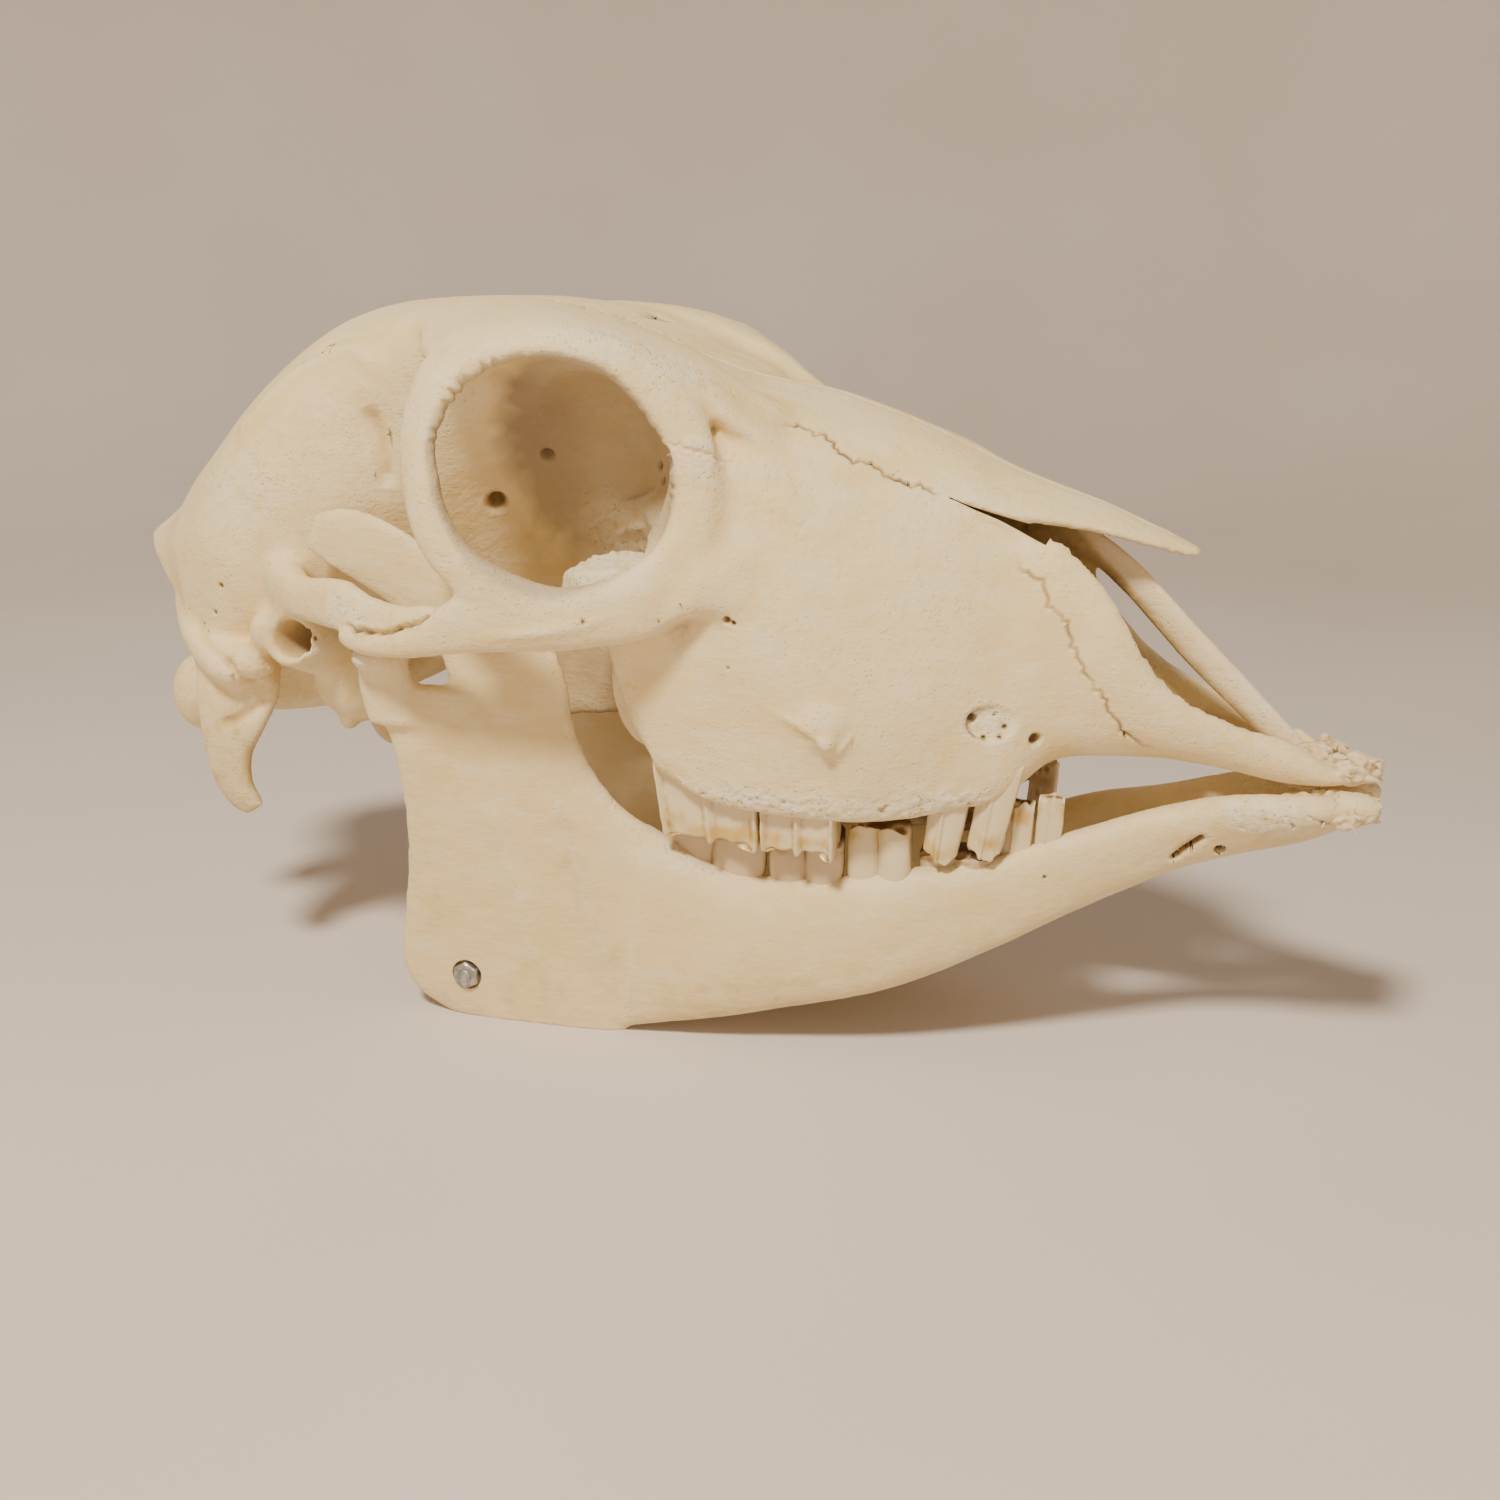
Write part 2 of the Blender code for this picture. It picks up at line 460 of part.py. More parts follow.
def jaw(side):
    shape = bmesh.new()
    ground = -1.6  # drawn a little below the ground, then cut flat
    blade(shape, [
        ((128, 6.5, 59.4), (128.5, 3.2, 55.5), 4.6),
        ((120, 12, 60), (119, 3.5, 51), 7),
        ((106, 10.5, 59.2), (105, 4.2, 45.5), 7.5),
        ((92, 9.5, 55.4), (91, 5.5, 40), 8),
        ((76, 14, 50.3), (75, 12, 32), 8),
        ((60, 17.6, 44.5), (60, 17.5, 23.8), 9),
        ((40, 23.5, 40.5), (40, 23, 14.5), 10.5),
        ((20, 26, 37.5), (20, 27, 8.8), 11.5),
        ((2, 28, 38.5), (0, 30, 4), 12),
        ((-13, 29.5, 47), (-18, 32.5, 0.5), 10),
    ], sides=(side,))
    blade(shape, [
        ((-56, 35, ground), (-18, 32.5, ground), 5.5),
        ((-66.5, 36.5, 4), (-14, 32, 6), 6.5),
        ((-70, 37, 12), (-10, 31.5, 18), 7),
        ((-68, 38, 24), (-8, 31, 30), 7),
        ((-65.5, 39.5, 40), (-10, 30.5, 44), 7),
        ((-65, 41, 52), (-18, 31.5, 51), 6.5),
        ((-66, 42.5, 63), (-24, 33, 60), 6),
        ((-69.5, 43.5, 72), (-27.5, 34.5, 71), 5.5),
        ((-70.5, 44, 76.5), (-28.5, 35, 75.5), 4.5),
    ], sides=(side,))
    blade(shape, [
        ((-27, 34.5, 72), (-52, 39, 68), 5),
        ((-29.5, 36, 84), (-54, 39.5, 80), 4.2),
        ((-38, 37.5, 93), (-58, 39.5, 87), 3.6),
        ((-50, 38.5, 100), (-65, 39.5, 91.5), 3.4),
        ((-62, 38.8, 108.5), (-74, 39.2, 96.5), 3.2),
        ((-74, 38.8, 112.6), (-80.5, 39, 99.5), 3.0),
        ((-83, 38.5, 111), (-86.5, 38.5, 103.5), 2.4),
    ], sides=(side,), around=14)
    blade(shape, [
        ((-70.5, 43.5, 68), (-57, 42, 68), 6.5),
        ((-72, 44, 76), (-59.5, 43, 76), 6.5),
        ((-71.5, 44.5, 82), (-61, 44, 82), 7),
    ], sides=(side,), around=14)
    egg(shape, (-66.5, 43, 83), (5.5, 9.5, 4), sides=(side,))
    egg(shape, (126.5, 5.6, 58.3), (7, 4.8, 2.9), sides=(side,))
    made = solid("mandible_right" if side < 0 else "mandible_left", shape)
    grow_together(made, JAW_VOXEL)
    relax(made, 5, fill=0.7, wear=0.2)
    thin_out(made, JAW_SHARE)
    return made


def block(low, high):
    """A plain cutting block."""
    bm = bmesh.new()
    size = [b - a for a, b in zip(low, high)]
    middle = [(a + b) / 2 for a, b in zip(low, high)]
    bmesh.ops.create_cube(bm, size=1, matrix=Matrix.Translation(middle) @ Matrix.Diagonal((*size, 1)))
    return solid("block", bm)


# Cheek teeth: a row per tooth of where it stands, read along the jaw from the rear

def tooth_rings(grow, side, x, y, z, wide, ribs):
    """Rings from the root end to the chewing end; grow makes the socket of the same tooth.

    x is (neck rear, neck front, tip rear, tip front), y is (outer face, depth inward),
    z is (neck rear, neck front, tip outer, tip inner), wide the share of depth at the tip."""
    neck_rear, neck_front, tip_rear, tip_front = x
    outer, depth = y
    z_rear, z_front, tip_out, tip_in = z
    up = 1 if z_rear > tip_out else -1
    plan = []
    outer_steps = 2 * ribs if ribs else 2
    for i in range(outer_steps + 1):   # outer face, rear to front, with upright ribs
        share = i / outer_steps
        rib = 0.5 * (1 + math.cos(2 * math.pi * share * ribs)) if ribs else math.sin(math.pi * share)
        plan.append((share, 0.12 * (1 - rib) if ribs else 0.22 * (1 - rib)))
    plan += [(0.97, 0.8), (0.74, 1.0), (0.5, 0.9 if ribs else 1.0), (0.26, 1.0), (0.03, 0.8)]
    rings = []
    for level in (-0.4, 0.2, 1.0):
        ring = []
        for share, deep in plan:
            rear = neck_rear + (tip_rear - neck_rear) * level
            front = neck_front + (tip_front - neck_front) * level
            inset = 0.12 * (front - rear) * max(0.0, -level)
            px = rear + inset + share * (front - rear - 2 * inset)
            py = outer - deep * depth * (1 + (wide - 1) * max(level, 0)) - 0.1 * depth * max(0.0, -level)
            neck = z_rear + (z_front - z_rear) * share
            tip = tip_out + (tip_in - tip_out) * deep
            pz = neck + (tip - neck) * level if level > 0 else neck + up * -level * 11
            ring.append((px, py, pz))
        ring = np.array(ring)
        if grow:
            middle = ring[:, :2].mean(0)
            span = ring[:, :2] - middle
            half = np.abs(span).max(0)
            ring[:, :2] = middle + span * (1 + (GAP + 0.12) / half)
            ring[:, 2] += up * grow if level < -0.3 else -up * grow * 6 * level
        ring[:, 1] *= side
        rings.append(ring)
    return rings


UPPER_LEFT = {
    "m3": ((-9.8, 13.0, -7.5, 13.4), (34.9, 11.6), (61, 56.5, 44.2, 49.2), 1.0, 2),
    "m2": ((13.5, 29.3, 13.9, 29.4), (34.7, 11.6), (56.4, 55.5, 43.6, 48.8), 1.0, 2),
    "m1": ((29.8, 41.8, 30.0, 41.6), (32.0, 10.6), (55.4, 55.6, 43.6, 48.4), 1.0, 2),
    "p4": ((42.4, 50.0, 42.1, 49.8), (28.4, 8.6), (55.6, 56.5, 44.2, 48.0), 1.0, 0),
    "p3": ((50.6, 57.4, 50.3, 57.1), (25.4, 7.8), (56.7, 58.2, 45.0, 48.2), 1.0, 0),
    "p2": ((58.0, 64.3, 57.6, 63.6), (23.4, 5.0), (58.4, 60.5, 47.2, 49.6), 1.0, 0),
}
UPPER_RIGHT = {
    "m3": UPPER_LEFT["m3"],
    "m2": UPPER_LEFT["m2"],
    "p3": ((46.6, 55.0, 43.4, 51.2), (25.9, 8.3), (56.6, 57.8, 43.4, 47.0), 0.95, 0),
    "p2": ((55.8, 64.4, 52.0, 60.4), (23.4, 6.2), (58.2, 60.6, 44.2, 46.8), 1.0, 0),
}
LOWER = {
    "m3": ((-11.0, 12.6, -10.0, 12.8), (28.8, 8.0), (42.5, 38.5, 45.9, 49.0), 1.0, 2),
    "m2": ((13.1, 29.3, 13.3, 29.4), (28.0, 8.0), (38.3, 39.5, 45.6, 48.6), 1.0, 2),
    "m1": ((29.8, 43.4, 29.9, 43.0), (26.6, 7.4), (39.5, 41.0, 50.2, 51.4), 1.0, 2),
    "p4": ((44.0, 59.4, 44.0, 59.4), (21.8, 6.0), (41.0, 44.4, 43.8, 45.6), 1.0, 2),
    "p3": ((60.0, 66.4, 60.1, 66.5), (17.8, 5.0), (44.6, 46.6, 54.0, 54.4), 0.8, 0),
    "p2": ((67.0, 72.4, 67.4, 72.8), (16.6, 4.8), (46.8, 48.4, 56.4, 56.8), 0.7, 0),
}
LOWER_LEFT = {
    "m3": LOWER["m3"],
    "m2": LOWER["m2"],
    "m1": ((29.8, 42.8, 29.9, 42.9), (26.8, 7.5), (39.5, 40.8, 44.8, 47.6), 1.0, 2),
    "p4": ((43.4, 59.4, 43.5, 59.4), (21.8, 6.0), (40.8, 44.4, 43.8, 45.6), 1.0, 2),
    "p3": LOWER["p3"],
}


def teeth(row, place, side, socket_of):
    """The teeth of one row, and their sockets cut into the bone."""
    for name, (x, y, z, wide, ribs) in row.items():
        socket = bmesh.new()
        skin(socket, tooth_rings(0.3, side, x, y, z, wide, ribs))
        bmesh.ops.triangulate(socket, faces=socket.faces)
        carve(socket_of, solid("socket", socket))
        crown = bmesh.new()
        skin(crown, tooth_rings(0, side, x, y, z, wide, ribs))
        bmesh.ops.triangulate(crown, faces=crown.faces)
        crown_object = solid(f"{place}_{'right' if side < 0 else 'left'}_{name}", crown)
        finished(crown_object, TOOTH)


for side in SIDES:
    teeth(UPPER_RIGHT if side < 0 else UPPER_LEFT, "upper", side, cranium)

# The rod through both jaw angles, with a nut let into each outer face

ROD_X, ROD_Z, ROD_END = -53.0, 10.2, 39.9
NUT_OUT, NUT_THICK, NUT_FLATS = 39.6, 2.4, 5.5
ROD_RADIUS = 1.5


def cylinder(radius, low, high, x, z, steps):
    """A round bar, or a hexagon with 6 steps, along y."""
    bm = bmesh.new()
    turn = Matrix.Translation((x, (low + high) / 2, z)) @ Matrix.Rotation(math.pi / 2, 4, "X")
    bmesh.ops.create_cone(bm, cap_ends=True, segments=steps, radius1=radius, radius2=radius,
                          depth=abs(high - low), matrix=turn)
    bmesh.ops.recalc_face_normals(bm, faces=bm.faces)
    return bm


for side in SIDES:
    half = jaw(side)
    carve(half, block((-200, -90, -20), (200, 90, 0)))
    carve(half, block((60, min(-side * 30, side * GAP / 2), 20), (160, max(-side * 30, side * GAP / 2), 90)))
    teeth(LOWER if side < 0 else LOWER_LEFT, "lower", side, half)
    carve(half, solid("hole", cylinder(ROD_RADIUS + GAP, 20 * side, 60 * side, ROD_X, ROD_Z, 16)))
    seat = side * (NUT_OUT - NUT_THICK - GAP)
    carve(half, solid("seat", cylinder(NUT_FLATS / math.sqrt(3) + GAP, seat, 60 * side, ROD_X, ROD_Z, 20)))
    finished(half, BONE)

    nut = solid("nut_right" if side < 0 else "nut_left",
                cylinder(NUT_FLATS / math.sqrt(3), side * NUT_OUT, side * (NUT_OUT - NUT_THICK),
                         ROD_X, ROD_Z, 6))
    carve(nut, solid("bore", cylinder(ROD_RADIUS + GAP, 20 * side, 60 * side, ROD_X, ROD_Z, 16)))
    finished(nut, STEEL, smooth=False)

rod = solid("jaw_rod", cylinder(ROD_RADIUS, -ROD_END, ROD_END, ROD_X, ROD_Z, 16))
finished(rod, STEEL, smooth=False)
finished(cranium, BONE)
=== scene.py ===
"""A dry sheep skull: the bare cranium resting on its two jaw halves, with its cheek teeth, the dried
gum at the snout, and the rod and nuts that hold the jaw halves together.

Shapes are drawn in millimetres, x toward the snout, y toward the skull's left, z up from the ground,
and each finished piece is then brought to metres over the origin.
"""
import math

import bmesh
import bpy
import numpy as np
from mathutils import Matrix, Vector, noise
from mathutils.bvhtree import BVHTree


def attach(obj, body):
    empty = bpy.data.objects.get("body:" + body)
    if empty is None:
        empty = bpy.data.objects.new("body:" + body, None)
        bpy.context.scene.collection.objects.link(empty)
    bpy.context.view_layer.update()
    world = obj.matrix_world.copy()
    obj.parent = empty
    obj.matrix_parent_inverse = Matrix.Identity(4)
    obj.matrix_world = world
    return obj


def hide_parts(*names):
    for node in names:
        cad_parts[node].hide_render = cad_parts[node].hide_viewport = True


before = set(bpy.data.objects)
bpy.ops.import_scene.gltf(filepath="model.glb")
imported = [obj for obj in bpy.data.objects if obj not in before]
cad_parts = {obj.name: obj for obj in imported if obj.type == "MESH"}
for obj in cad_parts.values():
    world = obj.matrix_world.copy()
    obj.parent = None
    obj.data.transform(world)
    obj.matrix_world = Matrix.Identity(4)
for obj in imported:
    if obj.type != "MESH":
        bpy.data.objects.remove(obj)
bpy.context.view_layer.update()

# The view, the ground and the light: a pale sweep that rises all round the skull, a warm lamp high over
# the side that is seen, and two weak ones from behind and from the snout.

view_data = bpy.data.cameras.new("view")
view_data.angle = math.radians(49)
view_data.clip_start = 0.01
view = bpy.data.objects.new("view", view_data)
view.location = (0.12379, -0.3363, 0.1583)
view.rotation_euler = (Vector((0.00799, 0, 0.05635)) - view.location).to_track_quat("-Z", "Y").to_euler()
bpy.context.scene.collection.objects.link(view)
bpy.context.scene.camera = view

sweep_mesh = bpy.data.meshes.new("sweep")
sweep_bm = bmesh.new()
bmesh.ops.create_circle(sweep_bm, cap_ends=True, segments=96, radius=0.62)
SWEEP_STEPS = (  # how much wider and higher each ring of the sweep is than the last
    (1.2, 0.006), (1.16, 0.03), (1.12, 0.08), (1.08, 0.16), (1.05, 0.26), (1.02, 0.4), (1.0, 0.9))
for grown, rise in SWEEP_STEPS:
    rim = [e for e in sweep_bm.edges if e.is_boundary]
    made = bmesh.ops.extrude_edge_only(sweep_bm, edges=rim)["geom"]
    lifted = [v for v in made if isinstance(v, bmesh.types.BMVert)]
    bmesh.ops.scale(sweep_bm, verts=lifted, vec=(grown, grown, 1))
    bmesh.ops.translate(sweep_bm, verts=lifted, vec=(0, 0, rise))
bmesh.ops.recalc_face_normals(sweep_bm, faces=sweep_bm.faces)
if sweep_bm.faces[0].normal.z < 0:
    bmesh.ops.reverse_faces(sweep_bm, faces=sweep_bm.faces)
for face in sweep_bm.faces:
    face.smooth = True
sweep_bm.to_mesh(sweep_mesh)
sweep_bm.free()
sweep = bpy.data.objects.new("sweep", sweep_mesh)
bpy.context.scene.collection.objects.link(sweep)
paper = bpy.data.materials.new("sweep_paper")
paper.use_nodes = True
paper_shader = paper.node_tree.nodes["Principled BSDF"]
paper_shader.inputs["Roughness"].default_value = 0.9
paper_shader.inputs["Specular IOR Level"].default_value = 0.2
paper_spot = paper.node_tree.nodes.new("ShaderNodeTexCoord")
paper_cloud = paper.node_tree.nodes.new("ShaderNodeTexNoise")
paper_cloud.inputs["Scale"].default_value = 6
paper_tone = paper.node_tree.nodes.new("ShaderNodeValToRGB")
paper_tone.color_ramp.elements[0].position = 0.3
paper_tone.color_ramp.elements[0].color = (0.67, 0.595, 0.53, 1)
paper_tone.color_ramp.elements[1].position = 0.7
paper_tone.color_ramp.elements[1].color = (0.71, 0.635, 0.57, 1)
paper.node_tree.links.new(paper_spot.outputs["Object"], paper_cloud.inputs["Vector"])
paper.node_tree.links.new(paper_cloud.outputs["Fac"], paper_tone.inputs["Fac"])
paper.node_tree.links.new(paper_tone.outputs["Color"], paper_shader.inputs["Base Color"])
sweep_mesh.materials.append(paper)

for label, spot, aim, width, power, tint in (
        ("key", (-0.04, -0.68, 0.98), (0.0, 0.0, 0.07), 0.20, 17.2, (1.0, 0.925, 0.80)),
        ("back", (-0.5, 0.65, 0.7), (0.0, 0.0, 0.08), 0.6, 0.5, (1.0, 0.94, 0.88)),
        ("side", (0.75, -0.1, 0.55), (0.0, 0.0, 0.08), 0.5, 0.4, (1.0, 0.94, 0.86))):
    lamp_data = bpy.data.lights.new(label, "AREA")
    lamp_data.shape = "DISK"
    lamp_data.size = width
    lamp_data.energy = power
    lamp_data.color = tint
    lamp = bpy.data.objects.new(label, lamp_data)
    lamp.location = spot
    lamp.rotation_euler = (Vector(aim) - Vector(spot)).to_track_quat("-Z", "Y").to_euler()
    bpy.context.scene.collection.objects.link(lamp)

air = bpy.data.worlds.new("air")
air.use_nodes = True
air.node_tree.nodes["Background"].inputs["Color"].default_value = (1.0, 0.93, 0.86, 1)
air.node_tree.nodes["Background"].inputs["Strength"].default_value = 0.07
bpy.context.scene.world = air


# Cranium: one bone grown from many, cleaned and bleached. It is drawn as rings for the braincase and the
# face, plates for the brow, cheek and base, and hollows for the nose and ears, all melted together, then
# worn round, and cracked along its old joints.

MM = 0.001
CENTRE_X = -7.99      # middle of the finished skull, moved over the origin
SIDES = (-1, 1)        # the skull's right, its left
BONE_VOXEL = 0.8


def smooth_rows(rows, per_span):
    """Catmull-Rom rows through the given rows."""
    rows = np.asarray(rows, float)
    ends = np.concatenate([[2 * rows[0] - rows[1]], rows, [2 * rows[-1] - rows[-2]]])
    out = []
    for i in range(len(rows) - 1):
        p0, p1, p2, p3 = ends[i:i + 4]
        for j in range(per_span):
            t = j / per_span
            out.append(0.5 * (2 * p1 + (p2 - p0) * t + (2 * p0 - 5 * p1 + 4 * p2 - p3) * t * t
                              + (3 * p1 - p0 - 3 * p2 + p3) * t ** 3))
    out.append(rows[-1])
    return np.array(out)


def smooth_loop(points, count):
    """A closed curve through the points, in count steps."""
    points = np.asarray(points, float)
    wrapped = np.concatenate([points[-2:], points, points[:3]])
    dense = smooth_rows(wrapped, 8)[16:16 + 8 * len(points)]
    at = np.linspace(0, len(dense), count, endpoint=False).astype(int)
    return dense[at]


def skin(bm, rings):
    """A closed skin over rings of points, capped at both ends."""
    rings = np.asarray(rings, float)
    m, n, _ = rings.shape
    made = bmesh.ops.create_grid(bm, x_segments=n, y_segments=m - 1, size=1)["verts"]
    for vert, place in zip(made, np.concatenate([rings, rings[:, :1]], axis=1).reshape(-1, 3)):
        vert.co = place
    seam = [made[row * (n + 1) + col] for row in range(m) for col in (0, n)]
    bmesh.ops.remove_doubles(bm, verts=seam, dist=1e-5)
    left = [v for v in made if v.is_valid]
    rim = list({e for v in left for e in v.link_edges if e.is_boundary})
    bmesh.ops.holes_fill(bm, edges=rim, sides=0)
    bmesh.ops.recalc_face_normals(bm, faces=list({f for v in left for f in v.link_faces}))


def blade(bm, rows, sides=SIDES, per_span=4, around=20, square=2.6):
    """A plate between two edges: rows of (edge point, other edge point, thickness)."""
    for side in sides:
        flat = np.array([[a[0], side * a[1], a[2], b[0], side * b[1], b[2], t] for a, b, t in rows])
        flat = smooth_rows(flat, per_span)
        a, b, thick = flat[:, :3], flat[:, 3:6], flat[:, 6]
        middle, reach = (a + b) / 2, (b - a) / 2
        out = np.cross(np.gradient(middle, axis=0), reach)
        out /= np.linalg.norm(out, axis=1)[:, None]
        turn = np.linspace(0, 2 * np.pi, around, endpoint=False)
        cos, sin = np.cos(turn), np.sin(turn)
        cos = np.sign(cos) * np.abs(cos) ** (2 / square)
        sin = np.sign(sin) * np.abs(sin) ** (2 / square)
        skin(bm, middle[:, None] + reach[:, None] * cos[None, :, None]
             + out[:, None] * (thick[:, None] / 2 * sin)[:, :, None])


def hull(bm, sections, per_span=4, around=52):
    """A body along x through half sections of (half width, height), the same on both sides."""
    rings = []
    for x, half in sections:
        ring = [(x, w, z) for w, z in half] + [(x, -w, z) for w, z in half[::-1] if w > 0]
        rings.append(smooth_loop(ring, around))
    skin(bm, smooth_rows(rings, per_span))


def egg(bm, centre, radii, sides=SIDES, steps=20):
    for side in sides:
        place = Matrix.Translation((centre[0], side * centre[1], centre[2])) @ Matrix.Diagonal((*radii, 1))
        bmesh.ops.create_uvsphere(bm, u_segments=steps, v_segments=steps // 2, radius=1, matrix=place)


def tube(bm, points, radii, sides=SIDES, per_span=4, around=14):
    """A round rod of changing radius through the points."""
    for side in sides:
        path = smooth_rows([[x, side * y, z, r] for (x, y, z), r in zip(points, radii)], per_span)
        middle, radius = path[:, :3], path[:, 3]
        along = np.gradient(middle, axis=0)
        along /= np.linalg.norm(along, axis=1)[:, None]
        up = np.array([0.0, 0.0, 1.0]) if abs(along[0, 2]) < 0.8 else np.array([1.0, 0.0, 0.0])
        across = np.cross(along, up)
        across /= np.linalg.norm(across, axis=1)[:, None]
        over = np.cross(along, across)
        turn = np.linspace(0, 2 * np.pi, around, endpoint=False)
        ring = np.cos(turn)[None, :, None] * across[:, None] + np.sin(turn)[None, :, None] * over[:, None]
        skin(bm, middle[:, None] + radius[:, None, None] * ring)


def solid(name, bm):
    mesh = bpy.data.meshes.new(name)
    bm.to_mesh(mesh)
    bm.free()
    made = bpy.data.objects.new(name, mesh)
    bpy.context.scene.collection.objects.link(made)
    return made


def settle(thing):
    """Turns the modifiers of a thing into its mesh."""
    graph = bpy.context.evaluated_depsgraph_get()
    mesh = bpy.data.meshes.new_from_object(thing.evaluated_get(graph))
    thing.modifiers.clear()
    thing.data = mesh


def grow_together(thing, voxel):
    melt = thing.modifiers.new("grown", "REMESH")
    melt.mode = "VOXEL"
    melt.voxel_size = voxel
    settle(thing)


def carve(thing, tool):
    cut = thing.modifiers.new("carved", "BOOLEAN")
    cut.operation = "DIFFERENCE"
    cut.solver = "MANIFOLD"
    cut.object = tool
    settle(thing)
    bpy.data.objects.remove(tool)


def join(thing, bm_other):
    bm = bmesh.new()
    bm.from_mesh(thing.data)
    other = bpy.data.meshes.new("other")
    bm_other.to_mesh(other)
    bm_other.free()
    bm.from_mesh(other)
    bm.to_mesh(thing.data)
    bm.free()


def places(thing):
    """Where each point is, and which way it faces."""
    mesh = thing.data
    at = np.empty(len(mesh.vertices) * 3, np.float32)
    out = np.empty(len(mesh.vertices) * 3, np.float32)
    mesh.vertices.foreach_get("co", at)
    mesh.vertex_normals.foreach_get("vector", out)
    return at.reshape(-1, 3).astype(float), out.reshape(-1, 3).astype(float)


def put(thing, at):
    thing.data.vertices.foreach_set("co", at.astype(np.float32).ravel())
    thing.data.update()


def linked(mesh):
    """The pairs of points that share an edge, and how many such edges each point has."""
    ends = np.empty(len(mesh.edges) * 2, np.int32)
    mesh.edges.foreach_get("vertices", ends)
    ends = ends.reshape(-1, 2)
    return ends, np.maximum(np.bincount(ends.ravel(), minlength=len(mesh.vertices)), 1)[:, None]


def evened(at, ends, near):
    """The middle of the points linked to each point."""
    total = np.stack([np.bincount(ends[:, 0], at[ends[:, 1], k], len(at))
                      + np.bincount(ends[:, 1], at[ends[:, 0], k], len(at)) for k in range(3)], 1)
    return total / near


def relax(thing, rounds, fill, wear, slide=0.5):
    """Rounds the surface: hollow edges fill, ridges wear."""
    ends, near = linked(thing.data)
    for _ in range(rounds):
        at, out = places(thing)
        pull = evened(at, ends, near) - at
        rise = (pull * out).sum(1)[:, None]
        at += slide * (pull - rise * out) + out * np.where(rise > 0, fill * rise, wear * rise)
        put(thing, at)


# Braincase and the wall between the orbits

outer = bmesh.new()
hull(outer, [
    (-149.5, [(0, 101.5), (4, 101), (8, 99.5), (8, 98), (5, 97), (0, 96.5)]),
    (-146, [(0, 104), (7, 102.5), (12, 99.5), (12, 97), (8, 94), (0, 92)]),
    (-141, [(0, 106.8), (10, 104.8), (16.5, 99.5), (16.5, 95), (11, 88), (0, 84)]),
    (-135, [(0, 111.4), (12, 109.4), (20.5, 101.4), (21.5, 93), (18, 84.5), (12, 77), (0, 72)]),
    (-129.5, [(0, 117.4), (13, 115.4), (23, 107.6), (27, 98), (25.5, 86), (21.5, 76), (15, 67), (0, 65)]),
    (-124, [(0, 122.8), (14, 120.8), (25, 111.6), (30.5, 99), (30, 85), (27, 74), (18, 66), (0, 65)]),
    (-110, [(0, 136.2), (15, 134.2), (28, 125.8), (35, 111), (36, 95), (32, 81), (22, 70), (0, 68)]),
    (-95, [(0, 147.2), (16, 145.2), (29, 136.4), (34, 120), (34, 102), (30, 87), (20, 74), (0, 71)]),
    (-80, [(0, 153), (18, 151), (30, 142), (33, 125), (32, 106), (27, 91), (16, 78), (0, 74)]),
    (-65, [(0, 154.5), (20, 153), (32, 146), (31, 130), (25, 110), (18, 95), (11, 84), (0, 79)]),
    (-50, [(0, 154.5), (22, 154), (37, 149), (33, 137), (20, 118), (13, 101), (9, 88), (0, 84)]),
    (-35, [(0, 152), (22, 152.5), (38, 149), (36, 142), (21, 128), (12, 109), (9, 92), (0, 86)]),
    (-20, [(0, 147), (20, 148), (36, 146), (36, 140), (24, 126), (15, 106), (11, 91), (0, 83)]),
    (-8, [(0, 142), (18, 143), (32, 139), (36, 130), (33, 113), (24, 99), (16, 88), (0, 79)]),
    (2, [(0, 139), (15, 139), (28, 134), (34, 124), (33, 110), (24, 99), (14, 90), (0, 84)]),
])

# The face in front of the orbits, down to the palate and out to the snout

